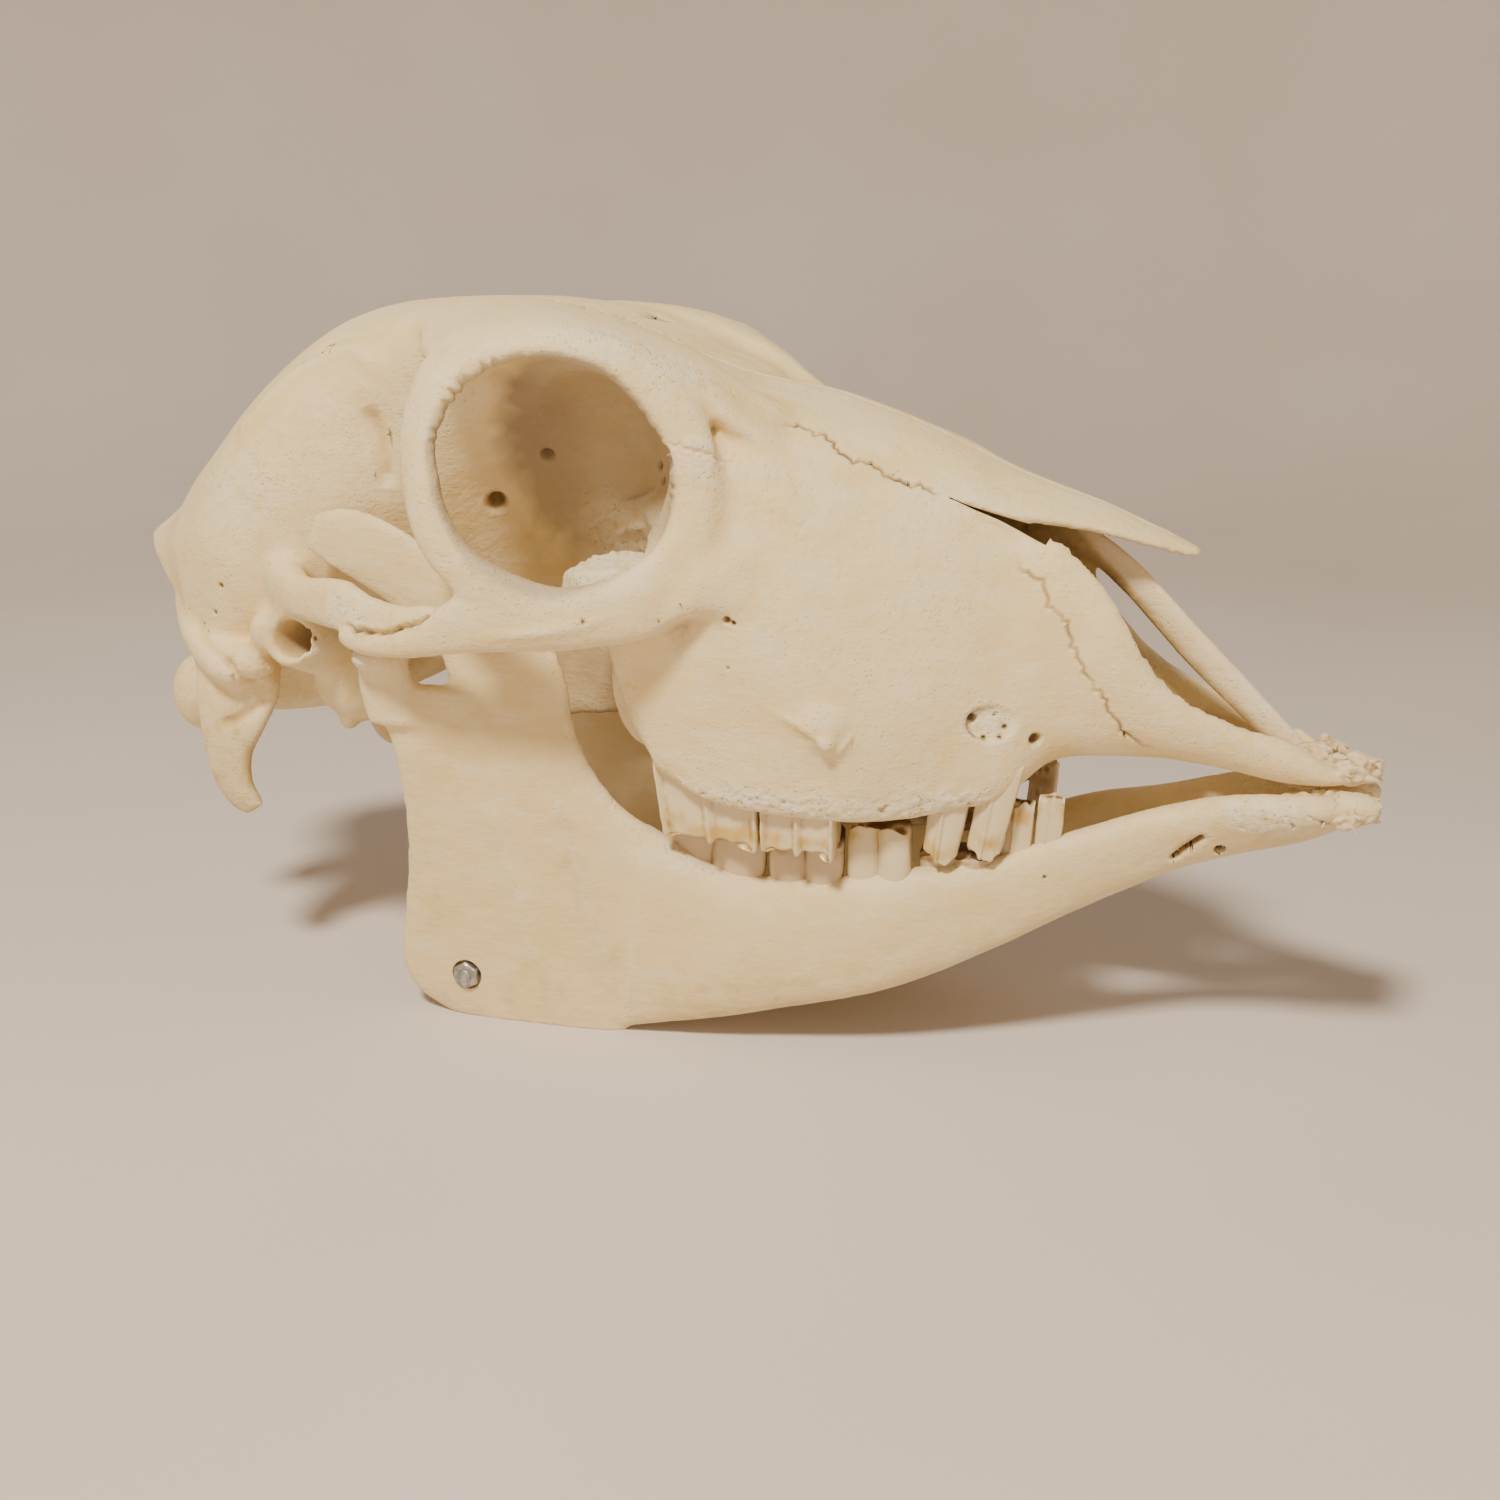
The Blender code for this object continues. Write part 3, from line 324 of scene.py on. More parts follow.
hull(outer, [
    (-9, [(0, 138), (14, 139), (30, 134), (36, 123), (37.5, 108), (37, 94), (37, 78), (37, 66),
          (34.5, 61), (23, 62), (12, 70), (0, 72)]),
    (4, [(0, 137.5), (15, 137.5), (28, 132), (36, 121), (39, 106), (39.5, 90), (38.6, 74), (37.6, 60),
         (35.5, 55), (23, 56), (14, 66), (0, 68)]),
    (20, [(0, 134), (13, 133), (24, 127), (32, 117), (37, 102), (39, 86), (38.4, 70), (37.4, 58),
          (35, 53.4), (23, 54), (14, 64), (0, 67)]),
    (35, [(0, 130), (12, 129), (20, 123), (27, 113), (32, 98), (35.2, 82), (35.6, 68), (34.4, 57),
          (32, 52.8), (21, 53.5), (13, 63), (0, 66)]),
    (50, [(0, 124), (11, 123), (17, 117.5), (22, 109), (26, 94), (28.4, 80), (28.6, 68), (28, 58.5),
          (25.5, 54.6), (17, 55.5), (11, 63), (0, 65)]),
    (61, [(0, 115), (10, 114), (15, 110.5), (19, 103), (21.5, 91), (23.2, 79), (24.2, 69), (24.2, 61.5),
          (21.5, 57.6), (13, 60), (8, 63), (0, 64)]),
    (70, [(0, 109), (9, 110), (16, 108.5), (19, 101), (20, 90), (19.5, 78), (18.5, 70), (16, 65.5),
          (12, 64), (7, 64), (0, 64)]),
    (80, [(0, 97), (9, 98.5), (16, 99), (19, 93), (19.3, 85), (18.5, 77), (17, 71), (14, 67),
          (10, 65.5), (6, 65), (0, 65)]),
    (90, [(0, 81), (8, 83), (14, 84), (17, 80), (17, 76), (15.5, 71), (13, 68), (10, 66), (7, 65), (4, 65),
          (0, 65)]),
    (102, [(0, 73), (6, 74.5), (10, 76), (13.5, 74), (13.5, 70), (12, 66.5), (10, 65), (7.5, 64),
           (5, 64), (3, 64), (0, 64)]),
    (114, [(0, 69), (5, 71), (8.5, 71.5), (11, 69), (11, 66), (10, 63.5), (8, 62.3), (6, 62),
           (4, 62), (2, 62), (0, 62)]),
    (122, [(0, 65), (4, 66), (7.5, 66), (9, 64.6), (9, 63.4), (8, 62.4), (6, 61.8), (5, 61.6),
           (3, 61.6), (1.5, 61.6), (0, 61.6)]),
    (127, [(0, 63.4), (2, 64), (4, 64), (5.5, 63.4), (5.5, 62.8), (5, 62.3), (4, 61.9), (3, 61.8),
           (2, 61.8), (1, 61.8), (0, 61.8)]),
])

# Orbit rims, the brow shelf over them and the bar behind them

RIM = [  # inner edge, outer edge, thickness; from the top forward, round and up the rear
    ((-24, 47.5, 144.4), (-24, 41, 149), 5),
    ((-14.4, 44.5, 141.3), (-12, 38, 146), 5),
    ((-8.1, 41, 133.8), (0, 34, 137), 6),
    ((-3.7, 39.5, 125.6), (5, 35, 127), 6),
    ((-2.5, 39.5, 117), (7, 37, 114), 6),
    ((-5, 42, 108.6), (3, 41, 103), 6),
    ((-12.5, 47, 102.7), (-8, 46, 94), 6),
    ((-21.2, 51.5, 101.2), (-20, 52, 90), 5.5),
    ((-30.8, 55.5, 105), (-33, 56, 94), 5),
    ((-38.8, 57.5, 113), (-47, 57, 106), 4.5),
    ((-43.1, 57.5, 122.4), (-52, 55, 119), 4.5),
    ((-44, 55.5, 130.6), (-53, 52, 131.5), 4.5),
    ((-40.2, 52.5, 138.9), (-50, 47, 143), 5),
    ((-32.7, 49.5, 143.5), (-38, 42, 149), 5),
    ((-24, 47.5, 144.4), (-24, 41, 149), 5),
]
blade(outer, RIM, per_span=4, around=16)
blade(outer, [
    ((-62, 24, 150), (-57, 36, 146), 5),
    ((-53, 26, 151.5), (-51, 46, 143), 6),
    ((-42, 26, 152), (-42, 47.5, 146), 6),
    ((-29, 24, 150), (-27, 46, 147.5), 6),
    ((-14, 22, 146), (-13, 42, 144), 6),
    ((-3, 20, 142), (-1, 35, 137), 6),
    ((5, 19, 138), (7, 32.5, 130.5), 4.5),
    ((13, 18, 134), (15, 28.5, 126), 2.5),
])

# Cheek arches: the cheekbone bar, and the bar of the temple that meets it from behind

blade(outer, [
    ((12, 35, 110), (12, 36, 92), 8),
    ((2, 39.5, 108), (3, 40.5, 95), 8),
    ((-8, 45, 104), (-7, 45.5, 90), 7),
    ((-20, 51.5, 101), (-20, 51.5, 88.5), 6),
    ((-32, 55.5, 101), (-32, 55, 87.8), 5),
    ((-42, 57, 98.5), (-43, 56, 86.8), 5),
    ((-49, 56.8, 93.0), (-50.5, 55.8, 85.6), 4.6),
    ((-57, 55.4, 90.2), (-58.5, 54.6, 84.8), 4.2),
    ((-65, 53, 89.4), (-66.5, 52.6, 84.8), 3.6),
    ((-71, 50.8, 89.4), (-71.5, 50.6, 86.2), 2.6),
])
blade(outer, [
    ((-100, 30, 102), (-98, 30, 88), 8),
    ((-93, 37, 100), (-92, 37, 89), 8),
    ((-85, 42.5, 98.4), (-84.5, 43, 88.5), 5.5),
    ((-78, 45.6, 98.8), (-78, 46.6, 88.4), 4.5),
    ((-71, 47.8, 99.0), (-71, 49.2, 88.0), 4.2),
    ((-64, 50.0, 96.6), (-64, 51.2, 87.4), 4.4),
    ((-55, 53.0, 95.8), (-55, 53.8, 87.6), 4.4),
    ((-46, 55.4, 96.8), (-46.5, 55.4, 90.5), 3.4),
])

# Face bumps: the cheek knob, and the swollen wall low in the orbit

egg(outer, (26.5, 37, 74.5), (6, 2.8, 3.8))
egg(outer, (29, 37.2, 71), (2.6, 2.7, 2.4))
egg(outer, (-17, 34, 98), (11, 12, 8))
egg(outer, (-12, 27, 78), (9, 7.5, 15))
blade(outer, [
    ((-17.5, 40, 94), (0, 37.5, 93), 6),
    ((-17, 37, 84), (0, 36, 83), 6),
    ((-14.5, 34.8, 73), (2, 35, 73), 6),
    ((-10.5, 33.8, 64.5), (4, 34, 64), 6),
])

# The crest at the back of the skull, down to the ear

blade(outer, [
    ((-150.6, 0, 100.8), (-140, 0, 100), 3.2),
    ((-148.8, 9, 99.8), (-139, 6, 98), 3.2),
    ((-143.6, 15.8, 96.8), (-135, 12, 95), 3.2),
    ((-135.0, 22.4, 90.8), (-129, 18, 90), 3.4),
    ((-127.0, 27.2, 84.8), (-121, 22, 85), 3.8),
    ((-124.0, 30.2, 78.6), (-117, 26, 80), 4.2),
])

# Skull base: plates behind the palate, the drum swelling, ear tube, hooks, and neck joint bumps

blade(outer, [
    ((-2, 15, 84), (-2, 17, 67), 6),
    ((-14, 13, 90), (-14, 15, 67), 4.5),
    ((-26, 12, 90), (-26, 14, 66), 4),
    ((-38, 11, 88), (-39, 13, 64), 3.8),
    ((-50, 10, 86), (-52, 12, 63), 3.8),
    ((-60, 10, 86), (-62, 12, 70), 4),
], around=14)
egg(outer, (-84, 24, 72), (12, 8, 10))
tube(outer, [(-86, 25, 68), (-86.5, 26, 63), (-87, 27, 60.5)], [4, 2.6, 1.8])
tube(outer, [(-88, 28, 80), (-91, 36, 83), (-92.0, 41.5, 83.6)], [7.4, 7.2, 6.0])
egg(outer, (-98, 35.5, 84), (6, 5, 5.5))
tube(outer, [(-131, 21, 87), (-123, 28, 80), (-111, 34, 75), (-101, 35, 78)], [3.5, 4.5, 5, 4])
blade(outer, [
    ((-128, 24, 84), (-104, 26, 80), 9),
    ((-124.5, 29, 74), (-102, 30, 68), 7),
    ((-123, 31.5, 64), (-105, 31.5, 60.5), 5.8),
    ((-121.5, 32.5, 55), (-109, 32, 54), 5),
    ((-119.5, 32.5, 47), (-110, 32, 47.5), 4.4),
    ((-116, 32, 41), (-108.5, 31.5, 44), 3.6),
    ((-112, 31.5, 38.8), (-107.5, 31, 41.8), 2.8),
], around=14)
egg(outer, (-134.5, 14.5, 62.5), (6.8, 7.5, 9.5))
hull(outer, [
    (-134, [(0, 66), (7, 66), (13, 64), (12, 58), (6, 57), (0, 57)]),
    (-122, [(0, 72), (8, 72), (15, 69), (14, 60), (8, 58), (0, 58)]),
    (-104, [(0, 78), (8, 78), (16, 74), (15, 63), (9, 60), (0, 61.5)]),
    (-84, [(0, 84), (8, 84), (12, 80), (11, 68), (7, 65), (0, 66)]),
    (-64, [(0, 92), (7, 92), (10, 86), (8, 80), (5, 78), (0, 78)]),
], around=32)

cranium = solid("cranium", outer)
grow_together(cranium, BONE_VOXEL)

# Hollows: nose, the opening for the spinal cord, ear openings, slits of the snout floor, and orbits

hollow = bmesh.new()
hull(hollow, [
    (16, [(0, 118), (7, 117), (12, 106), (12, 88), (8, 77), (0, 75)]),
    (38, [(0, 124), (9, 122.5), (18, 112), (24.5, 97), (25, 82), (19, 73), (10, 70), (0, 70)]),
    (55, [(0, 119.5), (9, 118), (15, 112), (20, 100), (22, 84), (19, 73), (10, 69.5), (0, 69)]),
    (64, [(0, 124), (8, 123), (12.5, 114), (15.5, 103), (17, 88), (16, 76), (10, 69.5), (0, 69)]),
    (72, [(0, 124), (7, 124), (12.5, 119), (15.5, 106), (16.5, 90), (15.5, 77), (10, 69.5), (0, 69)]),
    (82, [(0, 112), (7, 112), (12.5, 108), (15.5, 97), (16, 86), (14, 76), (9, 69.5), (0, 69)]),
    (92, [(0, 100), (6, 100), (11, 96), (13.6, 87), (13.8, 79), (12, 72), (8, 68.5), (0, 68.5)]),
    (104, [(0, 90), (4, 90), (8, 87), (10.4, 80), (10.6, 74), (9, 69), (6, 67.5), (0, 67.5)]),
    (116, [(0, 82), (3, 82), (5, 79), (7, 74), (7, 70), (6, 67.5), (4, 66), (0, 66)]),
    (126, [(0, 76), (1.5, 76), (2.5, 74), (3.5, 70), (3.5, 67), (3, 65), (2, 64), (0, 64)]),
], around=40)
tube(hollow, [(-160, 0, 68), (-145, 0, 71), (-130, 0, 77), (-116, 0, 84)], [11, 10.5, 10, 8],
     sides=(1,), around=24)
tube(hollow, [(-80, 20, 79), (-89, 36, 83), (-92.5, 56, 85.5)], [3.6, 4.2, 5.4])
tube(hollow, [(108, 4.6, 74), (107, 4.6, 66), (106, 4.6, 56)], [2.2, 2.2, 2.2])
tube(hollow, [(100, 5.2, 74), (99, 5.2, 66), (98, 5.2, 56)], [2.6, 2.6, 2.6])
tube(hollow, [(93, 5.6, 74), (92, 5.6, 66), (91, 5.6, 56)], [2.4, 2.4, 2.4])
for side in SIDES:
    tube(hollow, [(-23.5, side * 66, 122.5), (-23.5, side * 52, 122.4), (-23.5, side * 40, 122),
                  (-24, side * 31, 121), (-24.5, side * 24, 120), (-25, side * 18, 119),
                  (-25, side * 16.4, 119)],
         [19.6, 19.6, 19.6, 18.4, 15.5, 9, 4], sides=(1,), around=32)
hollow_tool = solid("hollow", hollow)
grow_together(hollow_tool, BONE_VOXEL)
carve(cranium, hollow_tool)

# The left edge of the nose opening is broken a little lower than the right

broken = bmesh.new()
EDGE = [(60, 122), (64, 112), (70, 102), (74, 94), (77, 90), (83, 83.5), (89, 79.5), (95, 77), (102, 74),
        (111, 68.5), (117, 70), (117, 122)]
skin(broken, [[(x, y, z) for x, z in EDGE] for y in (6, 30)])
bmesh.ops.triangulate(broken, faces=broken.faces)
carve(cranium, solid("broken", broken))

# Nose bones: a thin arched shell that runs out to a free tip

late = bmesh.new()
NOSE = [  # x, half width, height of the side edge, rise of the middle, thickness
    (-16, 4, 143.0, 1.0, 3), (-6, 11, 138.5, 2.5, 3), (8, 16, 133.5, 4.5, 3), (20, 17, 130.3, 5.5, 3),
    (34, 17.5, 125, 6.5, 3), (48, 18.5, 118, 7.5, 3), (58, 18, 114.5, 6.5, 3), (66, 15.5, 113.5, 4.5, 3),
    (76, 12, 111.5, 3.4, 2.8), (85, 8, 108.8, 2.4, 2.6), (92, 3.5, 106.6, 1.4, 2.2),
    (95, 1.5, 105.8, 0.8, 1.6),
]
shell = []
for x, half, edge, rise, thick in NOSE:
    spread = np.linspace(-1, 1, 15)
    top = [(x, half * s, edge + rise * (1 - s * s)) for s in spread]
    under = [(x, half * 0.94 * s, edge - thick * 0.5 + (rise - thick * 0.5) * (1 - s * s) - 0.2)
             for s in spread[::-1]]
    shell.append(top + under)
skin(late, smooth_rows(shell, 3))
join(cranium, late)
grow_together(cranium, BONE_VOXEL)
relax(cranium, 14, fill=0.7, wear=0.2)

# The gap that has opened between the nose bone and the upper jaw bone

slit = bmesh.new()
blade(slit, [
    ((47.5, 21, 117.6), (47.5, 13, 116.0), 0.3),
    ((52, 21, 116.0), (52, 13, 114.2), 0.7),
    ((57, 20, 114.3), (57, 12, 112.4), 1.3),
    ((62, 19, 112.2), (62, 10, 110.4), 2.2),
    ((67, 19, 110.2), (67, 10, 108.4), 3.0),
], around=12)
carve(cranium, solid("slit", slit))


def thin_out(thing, triangles, keep):
    """Fewer triangles, and none fewer where keep is true."""
    mesh = thing.data
    mesh.calc_loop_triangles()
    kept = thing.vertex_groups.new(name="kept")
    kept.add([int(i) for i in np.nonzero(keep)[0]], 1, "REPLACE")
    fewer = thing.modifiers.new("fewer", "DECIMATE")
    fewer.vertex_group = "kept"
    fewer.invert_vertex_group = True
    fewer.use_collapse_triangulate = True
    fewer.ratio = triangles / len(mesh.loop_triangles)
    settle(thing)
    thing.vertex_groups.clear()


def split_edges(thing, near, longest):
    """Finer triangles wherever near says so."""
    bm = bmesh.new()
    bm.from_mesh(thing.data)
    for _ in range(3):
        bm.verts.index_update()
        picked = near(np.array([v.co for v in bm.verts]))
        long_ones = [e for e in bm.edges if picked[e.verts[0].index] and picked[e.verts[1].index]
                     and e.calc_length() > longest]
        if not long_ones:
            break
        bmesh.ops.subdivide_edges(bm, edges=long_ones, cuts=1)
        bmesh.ops.triangulate(bm, faces=[f for f in bm.faces if len(f.verts) > 3])
    bm.to_mesh(thing.data)
    bm.free()


def hollowness(thing, rounds):
    """How deep each point lies under the evened surface around it, in millimetres."""
    ends, near = linked(thing.data)
    at, out = places(thing)
    even = at.copy()
    for _ in range(rounds):
        even = 0.5 * even + 0.5 * evened(even, ends, near)
    return ((even - at) * out).sum(1)


def on_left(at):
    """The same points, all on the left side."""
    return at * (1, 0, 1) + np.abs(at) * (0, 1, 0)


def off_line(at, line):
    """How far each point is from a line of points, and how far along the line it lies (0 to 1)."""
    line = np.asarray(line, float)
    best = np.full(len(at), 1e9)
    along = np.zeros(len(at))
    low, high = line.min(0) - 8, line.max(0) + 8
    close = np.nonzero(((at > low) & (at < high)).all(1))[0]
    spots = at[close]
    near, share = best[close], along[close]
    for i in range(len(line) - 1):
        a, d = line[i], line[i + 1] - line[i]
        t = np.clip(((spots - a) @ d) / (d @ d), 0, 1)
        gap = np.linalg.norm(spots - a - t[:, None] * d, axis=1)
        nearer = gap < near
        near = np.where(nearer, gap, near)
        share = np.where(nearer, (i + t) / (len(line) - 1), share)
    best[close], along[close] = near, share
    return best, along


def rough(at, size, seed=0.0):
    """Soft random heights between about -1 and 1, in lumps of the given size."""
    shift = Vector((seed, seed * 0.37, -seed * 0.61))
    return np.array([noise.noise(Vector(p) / size + shift) for p in at])


def blob(at, spots):
    """Soft patches: rows of centre, radii and strength, on both sides where y isn't signed by a side."""
    mask = np.zeros(len(at))
    for centre, radii, strength in spots:
        gap = np.linalg.norm((at - centre) / radii, axis=1)
        mask = np.maximum(mask, strength * np.clip(1.6 - gap, 0, 1))
    return mask


def both(rows):
    """The same rows on the right and the left."""
    return [((c[0], side * c[1], c[2]), r, s) for c, r, s in rows for side in SIDES]


def jagged(line, step, swing, tree, seed):
    """A line laid on the bone, with the small zigzags of a bone joint."""
    line = smooth_rows(line, 8)
    length = np.linalg.norm(np.diff(line, axis=0), axis=1)
    run = np.concatenate([[0], np.cumsum(length)])
    count = max(int(run[-1] / step), 2)
    spots = np.stack([np.interp(np.linspace(0, run[-1], count + 1), run, line[:, k]) for k in range(3)], 1)
    laid = []
    for i, spot in enumerate(spots):
        place, facing, _, _ = tree.find_nearest(Vector(spot))
        ahead = Vector(spots[min(i + 1, count)] - spots[max(i - 1, 0)]).normalized()
        swung = facing.cross(ahead) * swing * noise.noise(Vector((i * 0.83, seed, 0.5))) * 1.8
        laid.append(tree.find_nearest(place + swung)[0][:])
    return np.array(laid)


def surface_tree(thing):
    return BVHTree.FromPolygons([v.co[:] for v in thing.data.vertices],
                                [p.vertices[:] for p in thing.data.polygons])


def note(thing, name, values):
    """Keeps a number per point for the bone's colours."""
    kept = thing.data.attributes.new(name, "FLOAT", "POINT")
    kept.data.foreach_set("value", np.clip(values, 0, 1).astype(np.float32))


def finished(thing, name, material):
    """Millimetres to metres, over the origin, with its material."""
    shift = Matrix.Translation((-CENTRE_X * MM, 0, 0)) @ Matrix.Scale(MM, 4)
    thing.data.transform(shift)
    thing.data.materials.clear()
    thing.data.materials.append(material)
    for face in thing.data.polygons:
        face.use_smooth = True
    thing.data.update()
    thing.name = name
    return thing


class Paint:
    """A material, and short words for the nodes added to it."""

    def __init__(self, name, shine, roughness, clamp):
        self.made = bpy.data.materials.new(name)
        self.made.use_nodes = True
        self.nodes, self.links = self.made.node_tree.nodes, self.made.node_tree.links
        self.inputs = self.nodes["Principled BSDF"].inputs
        self.inputs["Specular IOR Level"].default_value = shine
        self.where = self.nodes.new("ShaderNodeTexCoord").outputs["Object"]
        self.roughness, self.clamp = roughness, clamp

    def feed(self, socket, value):
        """Numbers and colours are set, and what another node gives is linked."""
        if isinstance(value, tuple):
            socket.default_value = (*value, 1)
        elif isinstance(value, (int, float)):
            socket.default_value = value
        elif value is not None:
            self.links.new(value, socket)

    def cloud(self, scale, detail, stretch=(1, 1, 1)):
        place = self.nodes.new("ShaderNodeMapping")
        place.inputs["Scale"].default_value = stretch
        self.feed(place.inputs["Vector"], self.where)
        made = self.nodes.new("ShaderNodeTexNoise")
        self.feed(made.inputs["Scale"], scale)
        self.feed(made.inputs["Detail"], detail)
        self.feed(made.inputs["Roughness"], self.roughness)
        self.feed(made.inputs["Vector"], place.outputs["Vector"])
        return made.outputs["Fac"]

    def noted(self, attribute):
        read = self.nodes.new("ShaderNodeAttribute")
        read.attribute_name = attribute
        return read.outputs["Fac"]

    def sums(self, kind, a, b, c=None):
        step = self.nodes.new("ShaderNodeMath")
        step.operation = kind
        step.use_clamp = self.clamp and kind != "ADD"
        for socket, value in zip(step.inputs, (a, b, c)):
            self.feed(socket, value)
        return step.outputs["Value"]

    def between(self, value, low, high):
        ramp = self.nodes.new("ShaderNodeMapRange")
        ramp.interpolation_type = "SMOOTHSTEP"
        self.feed(ramp.inputs["From Min"], low)
        self.feed(ramp.inputs["From Max"], high)
        self.feed(ramp.inputs["Value"], value)
        return ramp.outputs["Result"]

    def blend(self, factor, a, b):
        mixed = self.nodes.new("ShaderNodeMix")
        mixed.data_type = "RGBA"
        for socket, value in ((0, factor), (6, a), (7, b)):
            self.feed(mixed.inputs[socket], value)
        return mixed.outputs[2]

    def relief(self, height, strength, distance):
        bump = self.nodes.new("ShaderNodeBump")
        self.feed(bump.inputs["Strength"], strength)
        self.feed(bump.inputs["Distance"], distance)
        self.feed(bump.inputs["Height"], height)
        self.feed(self.inputs["Normal"], bump.outputs["Normal"])


def bone_material(name, cream, warm, chalky):
    """Bleached bone: cream, with warmer clouds, chalky porous places, brown stain and dirt that also carry
    painted shade in the hollows, and a flat painted shade over places that lie in shade.
    """
    paint = Paint(name, 0.35, 0.6, False)
    cloud, sums, between, blend, noted = paint.cloud, paint.sums, paint.between, paint.blend, paint.noted
    stain_and_shade_brown, dirt_and_shade_brown = (0.60, 0.425, 0.17), (0.16, 0.085, 0.035)
    pore_brown, shade_brown = (0.36, 0.23, 0.12), (0.26, 0.18, 0.12)
    stain_and_shade, chalk, grime_and_shade, painted_shade = noted("stain_and_shade"), noted("chalk"), noted("grime_and_shade"), noted("painted_shade")
    tone = blend(between(cloud(55, 3), 0.38, 0.66), cream, warm)
    tone = blend(sums("MULTIPLY", between(cloud(210, 4, (0.35, 1, 1)), 0.45, 0.7), 0.35), tone, chalky)
    # Yellow-brown stain, which on the cranium, the strip and the jaws also carries painted shade in hollows
    # and closed-in places.
    spread = sums("ADD", stain_and_shade, sums("MULTIPLY", sums("SUBTRACT", cloud(170, 4), 0.5), 1.1))
    most = sums("MINIMUM", sums("MULTIPLY", stain_and_shade, 3), 0.9)
    tone = blend(sums("MULTIPLY", between(spread, 0.12, 0.9), most), tone, stain_and_shade_brown)
    frost = sums("MULTIPLY", chalk, between(cloud(420, 5), 0.3, 0.55))
    tone = blend(frost, tone, chalky)
    # Brown dirt, and painted shade in hollows, creases and holes, both from the same number.
    dirt = sums("ADD", grime_and_shade, sums("MULTIPLY", sums("SUBTRACT", cloud(500, 4), 0.5), 0.5))
    most = sums("MINIMUM", sums("MULTIPLY", grime_and_shade, 3), 0.95)
    tone = blend(sums("MULTIPLY", between(dirt, 0.15, 1.0), most), tone, dirt_and_shade_brown)
    cells = paint.nodes.new("ShaderNodeTexVoronoi")
    paint.feed(cells.inputs["Scale"], 950)
    paint.feed(cells.inputs["Vector"], paint.where)
    pores = sums("SUBTRACT", 1, between(cells.outputs["Distance"], 0.12, 0.36))
    porous = sums("MULTIPLY", pores, sums("MULTIPLY", chalk, between(cloud(240, 2), 0.45, 0.6)))
    tone = blend(sums("MULTIPLY", porous, 0.42), tone, pore_brown)
    # Painted shade: the tone is darkened to a flat shade brown where the fourth number says the place lies in
    # shade.
    paint.feed(paint.inputs["Base Color"], blend(painted_shade, tone, shade_brown))
    gloss = sums("MULTIPLY_ADD", cloud(90, 3), 0.3, 0.42)
    dull = sums("MINIMUM", sums("MULTIPLY_ADD", chalk, 0.2, gloss), 0.95)
    paint.feed(paint.inputs["Roughness"], dull)

    grain = sums("MULTIPLY", cloud(900, 4, (0.22, 1, 1)), 0.5)
    height = sums("ADD", sums("MULTIPLY", cloud(330, 5), 0.9), grain)
    height = sums("SUBTRACT", height, sums("MULTIPLY", porous, 1.2))
    height = sums("ADD", height, sums("MULTIPLY", sums("MULTIPLY", chalk, cloud(1500, 4)), 1.4))
    paint.relief(height, 0.55, 0.0006)
    return paint.made


# The face's marks: cracks along the old bone joints, small blood and nerve holes, worn and porous places.

CRACKS = [  # line on one side, half width, depth, dirt, zigzag
    (((-2.6, 40.6, 128.6), (1.6, 39.8, 126.8), (5.5, 36.6, 125.3), (9, 32.1, 124.8)), 0.42, 0.4, 0.25, 0.5),
    (((14, 24, 129.5), (17.6, 20.7, 130.4), (23.8, 20.7, 127.7), (28.2, 21.7, 125), (32.2, 21.5, 123),
      (36.2, 21, 121.3), (42, 19.9, 119.1), (48, 18.5, 117.2)), 0.42, 0.7, 0.95, 0.9),
    (((62, 17.2, 107.6), (61.5, 17.6, 106.4), (62.2, 18.3, 104.2), (64.5, 18.7, 102.4), (66.5, 19.1, 101.1),
      (67.5, 19.5, 98.8), (68.6, 19.6, 96.6), (71.6, 19.5, 94.4), (72.3, 19.6, 92.1), (73, 19.7, 89.8),
      (76.2, 19.3, 83.7), (77.8, 19, 81.4), (79.2, 18.8, 80.2), (81.7, 17.8, 74.7), (83.1, 16.9, 72.6),
      (85.8, 15.2, 70.3), (88.6, 13.9, 68.8), (91, 11.3, 66.9)), 0.45, 0.6, 0.75, 0.7),
    (((-8, 33, 140), (4, 27, 135.5), (12, 22, 133)), 0.45, 0.2, 0.2, 0.8),
    (((10, 34, 118), (22, 33.5, 110), (34, 32, 100)), 0.45, 0.1, 0.08, 1.4),
    (((-71, 52, 90.2), (-66, 53.8, 90.4), (-58, 56.4, 91.2), (-50, 58, 93.8), (-46.5, 58.4, 97)),
     0.55, 1.5, 1.0, 0.3),
]
MIDLINE = [
    (((-90, 0, 149.5), (-70, 0, 154), (-50, 0, 154.5), (-30, 0, 150.5), (-16, 0, 144.5)), 0.6, 0.5, 0.5, 2.2),
    (((-16, 0, 144.5), (0, 0, 141), (20, 0, 135.8), (40, 0, 130), (60, 0, 121), (80, 0, 113.5),
      (94, 0, 106.5)), 0.5, 0.7, 0.75, 0.5),
]
ACROSS = [
    (((-88, -31, 140), (-86, -18, 148), (-84, 0, 152), (-86, 18, 148), (-88, 31, 140)), 0.6, 0.4, 0.4, 2.6),
    (((-8, -17, 140.5), (-14, -9, 143), (-17, 0, 144.4), (-14, 9, 143), (-8, 17, 140.5)), 0.5, 0.4, 0.5, 1.6),
]
